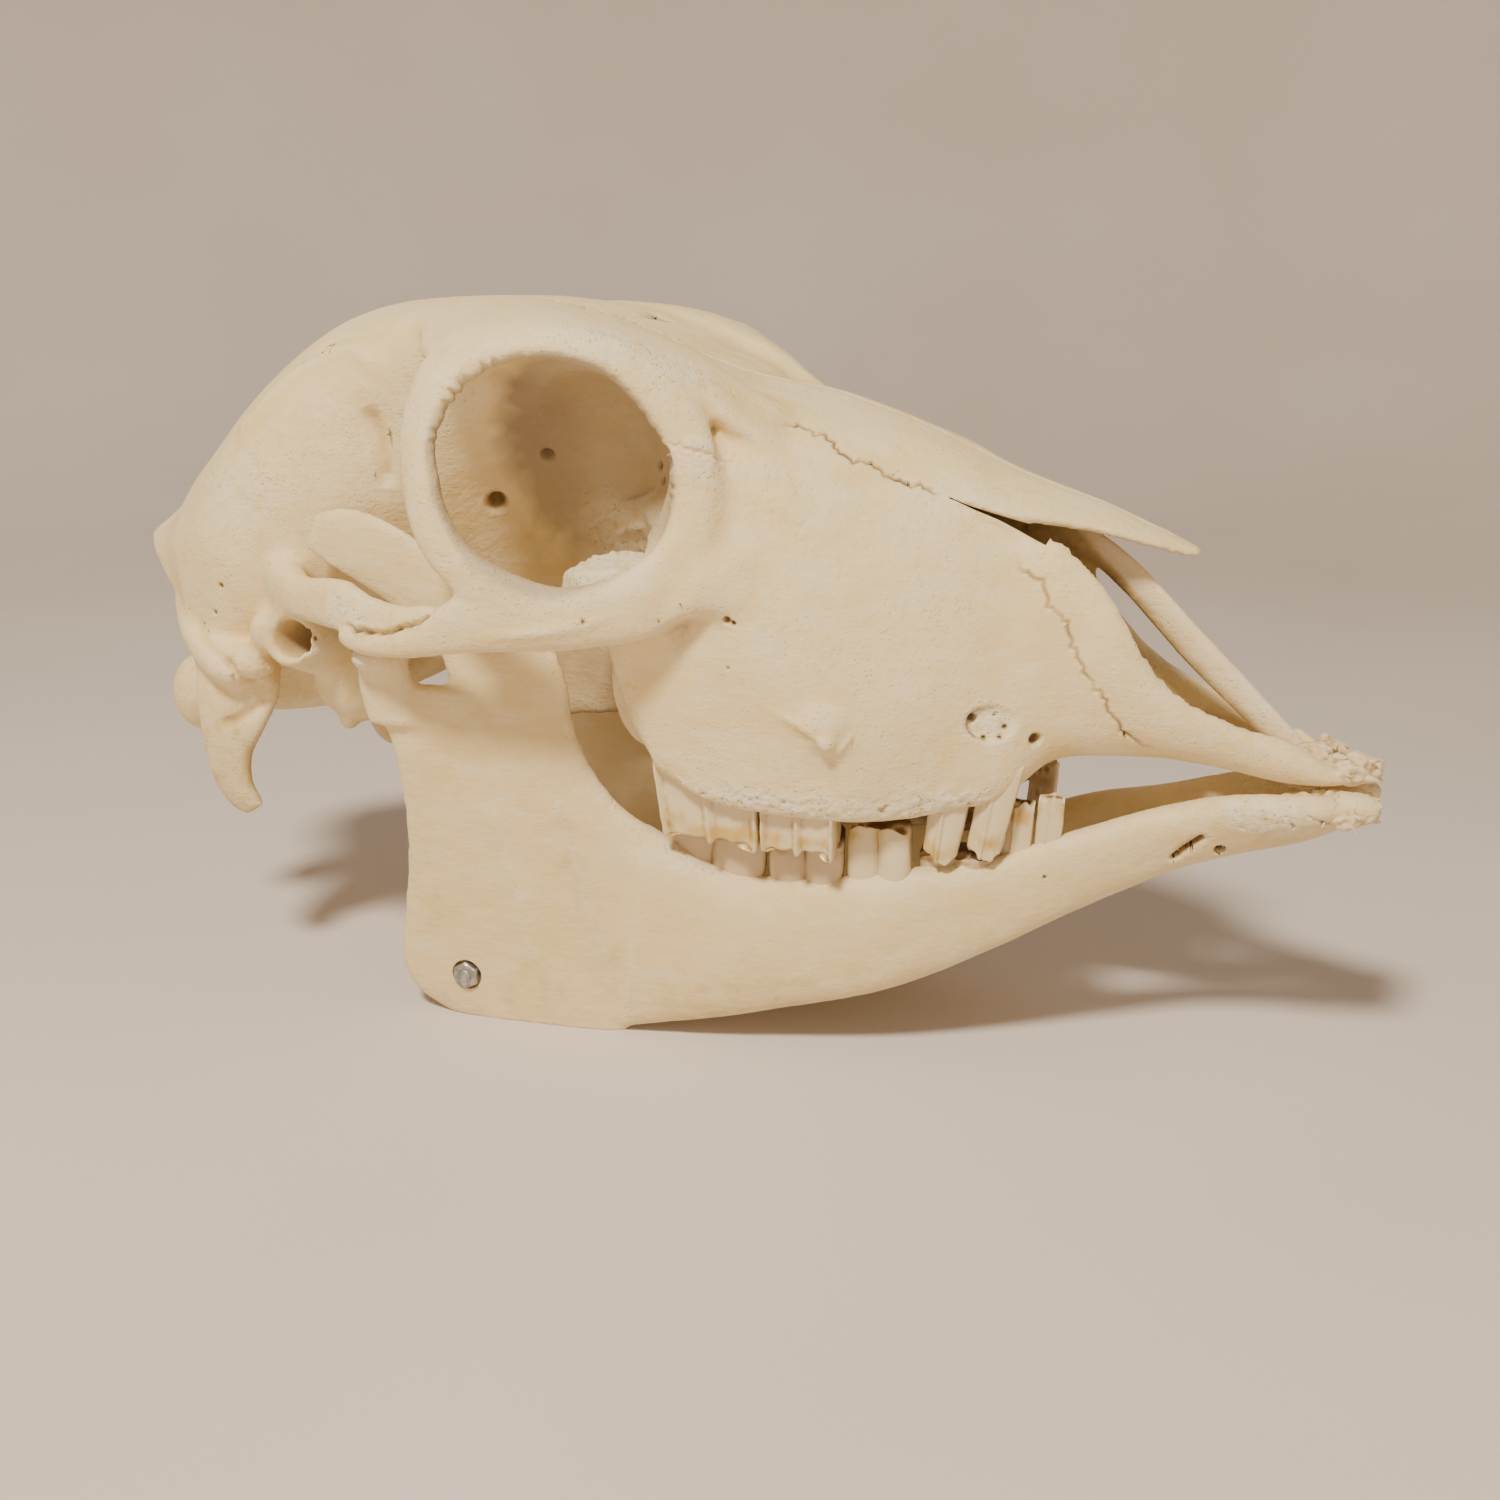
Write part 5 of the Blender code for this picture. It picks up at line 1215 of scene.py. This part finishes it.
gum = bone_material("dried_gum", (0.80, 0.63, 0.38), (0.70, 0.46, 0.20), (0.88, 0.77, 0.59))
SNOUT_VOXEL = 0.45
snout_crust = crust("snout_crust", [
    ((114, 4.5, 64.4), (5, 4.0, 2.6)), ((114, -4.5, 64.4), (5, 4.0, 2.6)), ((118, 0, 65.6), (6, 6.5, 3.4)),
    ((122, 2, 65.6), (5, 5.5, 3.6)), ((126, -2, 65.0), (4.5, 5.0, 3.2)),
    ((128.6, 1.5, 64.2), (4.2, 5.0, 2.6)), ((119, -5, 64.6), (4, 3, 2.6)), ((124, 5.5, 64.2), (4, 3, 2.2)),
], [
    ((128, 2, 65.0), (5.0, 0.6, 0.9), 0.9), ((127, -2, 66), (5.4, -0.8, 1.2), 0.9),
    ((126, 5, 65), (4.6, 2, 0.2), 0.8), ((120, 4, 67.6), (2, 1.4, 1.8), 0.9),
    ((117, -5, 66), (-2.5, -1.6, 1.8), 0.8), ((123, -4, 67), (2.6, -2, 1.2), 0.9),
    ((129, -4, 64), (3.8, -1.6, -0.6), 0.9), ((121, -1, 68), (3.5, -1.4, 1.0), 0.8),
    ((112, 5, 66), (-2, 1.2, 1.2), 0.7), ((129, 0, 63.2), (4.2, 0.4, -1.0), 0.9),
    ((125, -6, 65), (2.4, -2.2, -0.4), 0.8), ((115, -6, 66), (2, -1.8, 1.0), 0.7),
], 1, SNOUT_VOXEL, 3.3)
finished(snout_crust, "snout_crust", gum)
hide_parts("cranium")
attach(snout_crust, "root")


# Jaw halves: long flat bones, swept up at the rear to the joint knob and the blade in front of it, and
# drilled at the corner for the rod. Each stands on its own lower corner.

ROD_X, ROD_Z, ROD_END = -53.0, 10.2, 39.9
NUT_OUT, NUT_THICK, NUT_FLATS = 39.6, 2.4, 5.5
ROD_RADIUS = 1.5


def drill(radius, low, high, x, z, steps):
    """A round bar along y."""
    bm = bmesh.new()
    turn = Matrix.Translation((x, (low + high) / 2, z)) @ Matrix.Rotation(math.pi / 2, 4, "X")
    bmesh.ops.create_cone(bm, cap_ends=True, segments=steps, radius1=radius, radius2=radius,
                          depth=abs(high - low), matrix=turn)
    bmesh.ops.recalc_face_normals(bm, faces=bm.faces)
    return bm


JAW_HOLES = [  # centre on one side, radius, depth
    ((22.5, 30.5, 37.8), 1.0, 1.2), ((3.5, 33.0, 40.0), 0.6, 0.8), ((103.4, 9.3, 47.4), 1.1, 1.8),
    ((70, 19, 41.1), 0.4, 0.6), ((95.3, 10.1, 45.7), 0.6, 1.0),
]
JAW_LINES = [  # line on one side, half width, depth, dirt
    (((94.6, 10.1, 45.2), (96.6, 10.4, 47.2), (97.9, 10.6, 48.4), (99.6, 10.8, 50.0)), 0.75, 1.6, 1.0),
    (((119.5, 12.6, 57.4), (122, 11.6, 56.2), (124, 10.4, 55.4)), 0.35, 0.6, 0.7),
    (((115.5, 12.8, 57.0), (117, 12.2, 54.6)), 0.3, 0.5, 0.6),
    (((105.5, 11.2, 54.4), (108.5, 11.8, 52.6), (111.5, 11.6, 51.6)), 0.3, 0.3, 0.35),
]
JAW_RIDGES = [  # where the chewing muscle held
    ((-30, 37, 50), (-25, 36.5, 34), (-21, 36, 18)),
    ((-44, 39, 48), (-40, 38.5, 32), (-37, 37, 16)),
]
# Stains and darker patches: darker along the lower edge, and painted shade high on the blade under the cheek
# arch.
JAW_STAINS_AND_SHADE = [
    ((-54, 39, 4), (6, 5, 6), 0.3), ((-28, 37, 34), (5, 8, 16), 0.14), ((-62, 39, 30), (6, 8, 22), 0.16),
    ((110, 9, 53), (18, 8, 6), 0.22), ((97, 10.4, 47.6), (4, 3, 4), 0.4),
    ((-45, 34, 70), (20, 12, 16), 0.16), ((60, 18, 40), (30, 8, 8), 0.12), ((-56, 34, 3), (12, 8, 5), 0.3),
    ((20, 23, 42), (36, 6, 3), 0.35), ((10, 32, 12), (44, 8, 9), 0.28), ((-40, 35, 8), (20, 8, 8), 0.25),
]
JAW_CHALKS = [
    ((111.5, 11.8, 56), (7, 6, 3.4), 1.0), ((-68, 44, 84), (8, 8, 5), 0.6),
    ((-40, 34, 104), (40, 5, 20), 0.2), ((10, 30, 41), (40, 6, 3), 0.4),
]
JAW_TRIANGLES, JAW_EDGE = 70000, 0.4


def jaw(side, seed):
    shape = bmesh.new()
    ground = -1.6
    blade(shape, [
        ((128, 6.5, 59.4), (128.5, 3.2, 55.5), 4.6),
        ((120, 12, 60), (119, 3.5, 51), 7),
        ((106, 10.5, 59.2), (105, 4.2, 45.5), 7.5),
        ((92, 9.5, 55.4), (91, 5.5, 40), 8),
        ((76, 14, 50.3), (75, 12, 32), 8),
        ((60, 17.6, 44.5), (60, 17.5, 23.8), 9),
        ((40, 23.5, 40.5), (40, 23, 14.5), 10.5),
        ((20, 26, 37.5), (20, 27, 8.8), 11.5),
        ((2, 28, 38.5), (0, 30, 4), 12),
        ((-13, 29.5, 47), (-18, 32.5, 0.5), 10),
    ], sides=(side,))
    blade(shape, [
        ((-56, 35, ground), (-18, 32.5, ground), 5.5),
        ((-66.5, 36.5, 4), (-14, 32, 6), 6.5),
        ((-70, 37, 12), (-10, 31.5, 18), 7),
        ((-68, 38, 24), (-8, 31, 30), 7),
        ((-65.5, 39.5, 40), (-10, 30.5, 44), 7),
        ((-65, 41, 52), (-18, 31.5, 51), 6.5),
        ((-66, 42.5, 63), (-24, 33, 60), 6),
        ((-69.5, 43.5, 72), (-27.5, 34.5, 71), 5.5),
        ((-70.5, 44, 76.5), (-28.5, 35, 75.5), 4.5),
    ], sides=(side,))
    blade(shape, [
        ((-27, 34.5, 72), (-52, 39, 68), 5),
        ((-29.5, 36, 84), (-54, 39.5, 80), 4.2),
        ((-38, 37.5, 93), (-58, 39.5, 87), 3.6),
        ((-50, 38.5, 100), (-65, 39.5, 91.5), 3.4),
        ((-62, 38.8, 108.5), (-74, 39.2, 96.5), 3.2),
        ((-74, 38.8, 112.6), (-80.5, 39, 99.5), 3.0),
        ((-83, 38.5, 111), (-86.5, 38.5, 103.5), 2.4),
    ], sides=(side,), around=14)
    blade(shape, [
        ((-70.5, 43.5, 68), (-57, 42, 68), 6.5),
        ((-72, 44, 76), (-59.5, 43, 76), 6.5),
        ((-71.5, 44.5, 82), (-61, 44, 82), 7),
    ], sides=(side,), around=14)
    egg(shape, (-66.5, 43, 83), (5.5, 9.5, 4), sides=(side,))
    egg(shape, (126.5, 5.6, 58.3), (7, 4.8, 2.9), sides=(side,))
    made = solid("jaw", shape)
    grow_together(made, BONE_VOXEL)
    relax(made, 11, fill=0.7, wear=0.2)

    def fine(at):
        folded = at * (1, side, 1)
        picked = np.linalg.norm(folded - (ROD_X, NUT_OUT, ROD_Z), axis=1) < 7
        for centre, radius, _ in JAW_HOLES:
            picked |= np.linalg.norm(folded - centre, axis=1) < 2 * radius + 1.2
        for line, *_ in JAW_LINES:
            picked |= off_line(folded, smooth_rows(line, 3))[0] < 1.4
        return picked

    thin_out(made, JAW_TRIANGLES, fine(places(made)[0]))
    seat = side * (NUT_OUT - NUT_THICK - 0.3)
    carve(made, solid("hole", drill(ROD_RADIUS + 0.35, 20 * side, 60 * side, ROD_X, ROD_Z, 32)))
    carve(made, solid("seat", drill(NUT_FLATS / math.sqrt(3) + 0.3, seat, 60 * side, ROD_X, ROD_Z, 48)))
    split_edges(made, fine, JAW_EDGE)
    at, out = places(made)
    folded = at * (1, side, 1)
    chalk = blob(folded, JAW_CHALKS)
    at += out * (0.3 * rough(at, 16.0, seed) + 0.08 * rough(at, 5.0, seed + 2)
                 + 0.2 * chalk * rough(at, 1.4, seed + 6))[:, None]
    ridges = np.zeros(len(at))
    for line in JAW_RIDGES:
        gap = off_line(folded, line)[0]
        ridges += 0.45 * np.exp(-(gap / 2.2) ** 2)
    at += out * ridges[:, None]
    depth = np.zeros(len(at))
    grime_and_shade = np.zeros(len(at))
    # The holes are painted dark inside: painted shade.
    for centre, radius, deep in JAW_HOLES:
        gap = np.linalg.norm(folded - centre, axis=1)
        depth += deep * np.exp(-(gap / radius) ** 4)
        grime_and_shade = np.maximum(grime_and_shade, 0.95 * np.exp(-(gap / (radius * 1.05)) ** 4))
    for line, wide, deep, dirt in JAW_LINES:
        gap = off_line(folded, smooth_rows(line, 4))[0]
        depth += deep * np.exp(-(gap / wide) ** 2)
        grime_and_shade = np.maximum(grime_and_shade, dirt * np.exp(-(gap / (wide * 0.9)) ** 2))
    at -= out * depth[:, None]
    at[:, 2] = np.maximum(at[:, 2], 0)
    at[:, 1] = np.where(at[:, 0] > 60, side * np.maximum(side * at[:, 1], 0.15), at[:, 1])
    put(made, at)
    # Browner and darker in the hollows: painted shade.
    sunk = hollowness(made, 60)
    pinched = hollowness(made, 8)
    note(made, "stain_and_shade", blob(folded, JAW_STAINS_AND_SHADE) + np.clip(ridges * 0.5, 0, 0.3)
         + np.clip(sunk / 4, 0, 0.3) + 0.06)
    note(made, "chalk", chalk + np.clip(-pinched / 0.4, 0, 0.3))
    shaded = np.clip((sunk - 1) / 3.5, 0, 0.5) + np.clip(pinched / 0.7, 0, 0.25)
    note(made, "grime_and_shade", np.maximum(grime_and_shade, shaded))
    return made


jaw_bone = bone_material("bleached_jaw_bone", (0.79, 0.62, 0.325), (0.77, 0.59, 0.28), (0.86, 0.76, 0.53))
for side in SIDES:
    name = "mandible_right" if side < 0 else "mandible_left"
    half = finished(jaw(side, 11.0 + side), name + "_bone", jaw_bone)
    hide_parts(name)
    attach(half, "root")


# Lower cheek teeth, half as deep as the upper ones. Those that stay low, in the shade of the upper teeth,
# take a darker copy of the enamel: painted shade.

LOWER = {
    "m3": ((-11.0, 12.6, -10.0, 12.8), (28.8, 8.0), (42.5, 38.5, 45.9, 49.0), 1.0, 2),
    "m2": ((13.1, 29.3, 13.3, 29.4), (28.0, 8.0), (38.3, 39.5, 45.6, 48.6), 1.0, 2),
    "m1": ((29.8, 43.4, 29.9, 43.0), (26.6, 7.4), (39.5, 41.0, 50.2, 51.4), 1.0, 2),
    "p4": ((44.0, 59.4, 44.0, 59.4), (21.8, 6.0), (41.0, 44.4, 43.8, 45.6), 1.0, 2),
    "p3": ((60.0, 66.4, 60.6, 67.0), (17.8, 5.0), (44.6, 46.6, 56.0, 55.6), 0.8, 0),
    "p2": ((67.0, 72.4, 67.4, 72.8), (16.6, 4.8), (46.8, 48.4, 57.2, 57.0), 0.7, 0),
}
LOWER_LEFT = {
    "m3": LOWER["m3"],
    "m2": LOWER["m2"],
    "m1": ((29.8, 42.8, 29.9, 42.9), (26.8, 7.5), (39.5, 40.8, 44.8, 47.6), 1.0, 2),
    "p4": ((43.4, 59.4, 43.5, 59.4), (21.8, 6.0), (40.8, 44.4, 43.8, 45.6), 1.0, 2),
    "p3": LOWER["p3"],
}

LIT_HEIGHT = 49        # teeth that reach higher stand in the light
# The darker enamel is painted shade for the low teeth; the others keep the enamel of the teeth in light.
shade_painted_enamel = tooth_material("shade_painted_tooth_enamel", (0.64, 0.49, 0.29), (0.46, 0.27, 0.09),
                              (0.16, 0.09, 0.04))
for side, row in ((-1, LOWER), (1, LOWER_LEFT)):
    for number, (label, numbers) in enumerate(row.items()):
        place = f"lower_{'right' if side < 0 else 'left'}_{label}"
        enamel = lit_enamel if numbers[2][2] > LIT_HEIGHT else shade_painted_enamel
        crown = finished(tooth(side, numbers, 1.7 * number + 20 + side), place + "_crown", enamel)
        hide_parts(place)
        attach(crown, "root")

# Crusts of gum and broken bone at the tips of the jaw halves, where the front teeth stood.

TIP_VOXEL = 0.42
for side in SIDES:
    tip_crust = crust("tip_crust", [
        ((123, 6.5, 58.4), (5.5, 4.6, 2.6)), ((128.2, 5.4, 57.6), (4.4, 4.4, 2.7)),
        ((118, 8.2, 58.8), (4.6, 3.6, 2.0)), ((126, 8.4, 56.6), (4, 2.6, 2.2)),
    ], [
        ((129, 6, 58.6), (4.2, 0.8, 0.3), 0.9), ((128, 4, 59.4), (4.6, -0.4, 0.2), 0.8),
        ((126, 9, 58), (3.4, 2.2, -0.6), 0.8), ((121, 9, 58.6), (-2.4, 2.6, -0.2), 0.8),
        ((118, 10, 59), (-3.2, 1.6, 0.2), 0.7), ((129.4, 5, 56.6), (4.0, 0.4, -1.6), 0.9),
        ((127, 9, 56), (1.8, 2.0, -2.2), 0.7), ((123, 10.4, 56.6), (-1.2, 1.8, -2.4), 0.7),
    ], side, TIP_VOXEL, 6.1 + side)
    at, _ = places(tip_crust)
    at[:, 1] = side * np.maximum(side * at[:, 1], 0.2)
    put(tip_crust, at)
    name = "mandible_right" if side < 0 else "mandible_left"
    finished(tip_crust, name + "_tip_crust", gum)
    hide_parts(name)
    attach(tip_crust, "root")


# Rod and nuts: a threaded steel rod through both jaw corners, with a six-sided zinc-plated nut let into
# a drilled seat on each outer face.

steel = bpy.data.materials.new("zinc_plated_steel")
steel.use_nodes = True
steel_tree = steel.node_tree
steel_shader = steel_tree.nodes["Principled BSDF"]
steel_shader.inputs["Metallic"].default_value = 1.0
steel_where = steel_tree.nodes.new("ShaderNodeTexCoord")
steel_cloud = steel_tree.nodes.new("ShaderNodeTexNoise")
steel_cloud.inputs["Scale"].default_value = 700
steel_cloud.inputs["Detail"].default_value = 4
steel_tone = steel_tree.nodes.new("ShaderNodeValToRGB")
steel_tone.color_ramp.elements[0].position = 0.35
steel_tone.color_ramp.elements[0].color = (0.30, 0.29, 0.28, 1)
steel_tone.color_ramp.elements[1].position = 0.65
steel_tone.color_ramp.elements[1].color = (0.55, 0.54, 0.53, 1)
steel_dull = steel_tree.nodes.new("ShaderNodeMapRange")
steel_dull.inputs["To Min"].default_value = 0.35
steel_dull.inputs["To Max"].default_value = 0.6
steel_tree.links.new(steel_where.outputs["Object"], steel_cloud.inputs["Vector"])
steel_tree.links.new(steel_cloud.outputs["Fac"], steel_tone.inputs["Fac"])
steel_tree.links.new(steel_cloud.outputs["Fac"], steel_dull.inputs["Value"])
steel_tree.links.new(steel_tone.outputs["Color"], steel_shader.inputs["Base Color"])
steel_tree.links.new(steel_dull.outputs["Result"], steel_shader.inputs["Roughness"])

NUT_BORE, NUT_BEVEL = ROD_RADIUS + 0.05, 0.35
THREAD, TURN_STEPS = 0.5, 16      # rise of one turn, and points round the rod


def six_sided(angle):
    """How far out the rim of the nut is at an angle."""
    local = (angle + math.pi / 6) % (math.pi / 3) - math.pi / 6
    return NUT_FLATS / 2 / math.cos(local)


def next_ring(bm, edges, reach, y):
    """The rim of a turned piece drawn on to its next ring, round or six-sided, at y."""
    made = bmesh.ops.extrude_edge_only(bm, edges=edges)["geom"]
    for v in [v for v in made if isinstance(v, bmesh.types.BMVert)]:
        angle = math.atan2(v.co.z - ROD_Z, v.co.x - ROD_X)
        far = reach(angle) if callable(reach) else reach
        v.co = (ROD_X + far * math.cos(angle), y, ROD_Z + far * math.sin(angle))
    return [e for e in made if isinstance(e, bmesh.types.BMEdge)]


def first_ring(bm, reach, y, steps, closed):
    turn = Matrix.Translation((ROD_X, y, ROD_Z)) @ Matrix.Rotation(math.pi / 2, 4, "X")
    bmesh.ops.create_circle(bm, cap_ends=closed, segments=steps, radius=reach, matrix=turn)
    return list(bm.edges)


for side in SIDES:
    nut_bm = bmesh.new()
    face_out, face_in = side * NUT_OUT, side * (NUT_OUT - NUT_THICK)
    edges = first_ring(nut_bm, NUT_BORE, face_out, 48, False)
    for reach, y in ((NUT_FLATS / 2 * 0.94, face_out), (six_sided, face_out - side * NUT_BEVEL),
                     (six_sided, face_in), (NUT_BORE, face_in)):
        edges = next_ring(nut_bm, edges, reach, y)
    bmesh.ops.bridge_loops(nut_bm, edges=[e for e in nut_bm.edges if e.is_boundary])
    bmesh.ops.recalc_face_normals(nut_bm, faces=nut_bm.faces)
    nut = finished(solid("nut", nut_bm), f"nut_{'right' if side < 0 else 'left'}_steel", steel)
    nut.data.set_sharp_from_angle(angle=math.radians(25))
    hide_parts("nut_right" if side < 0 else "nut_left")
    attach(nut, "root")

rod_bm = bmesh.new()
edges = first_ring(rod_bm, ROD_RADIUS * 0.8, -ROD_END, TURN_STEPS, True)
run = -ROD_END
steps = []
while run < ROD_END - THREAD:
    steps += [(ROD_RADIUS, run + THREAD * 0.4), (ROD_RADIUS * 0.86, run + THREAD * 0.9)]
    run += THREAD
steps.append((ROD_RADIUS * 0.8, ROD_END))
for reach, y in steps:
    edges = next_ring(rod_bm, edges, reach, y)
bmesh.ops.holes_fill(rod_bm, edges=[e for e in rod_bm.edges if e.is_boundary], sides=0)
bmesh.ops.recalc_face_normals(rod_bm, faces=rod_bm.faces)
rod = finished(solid("rod", rod_bm), "jaw_rod_thread", steel)
rod.data.set_sharp_from_angle(angle=math.radians(30))
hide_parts("jaw_rod")
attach(rod, "root")
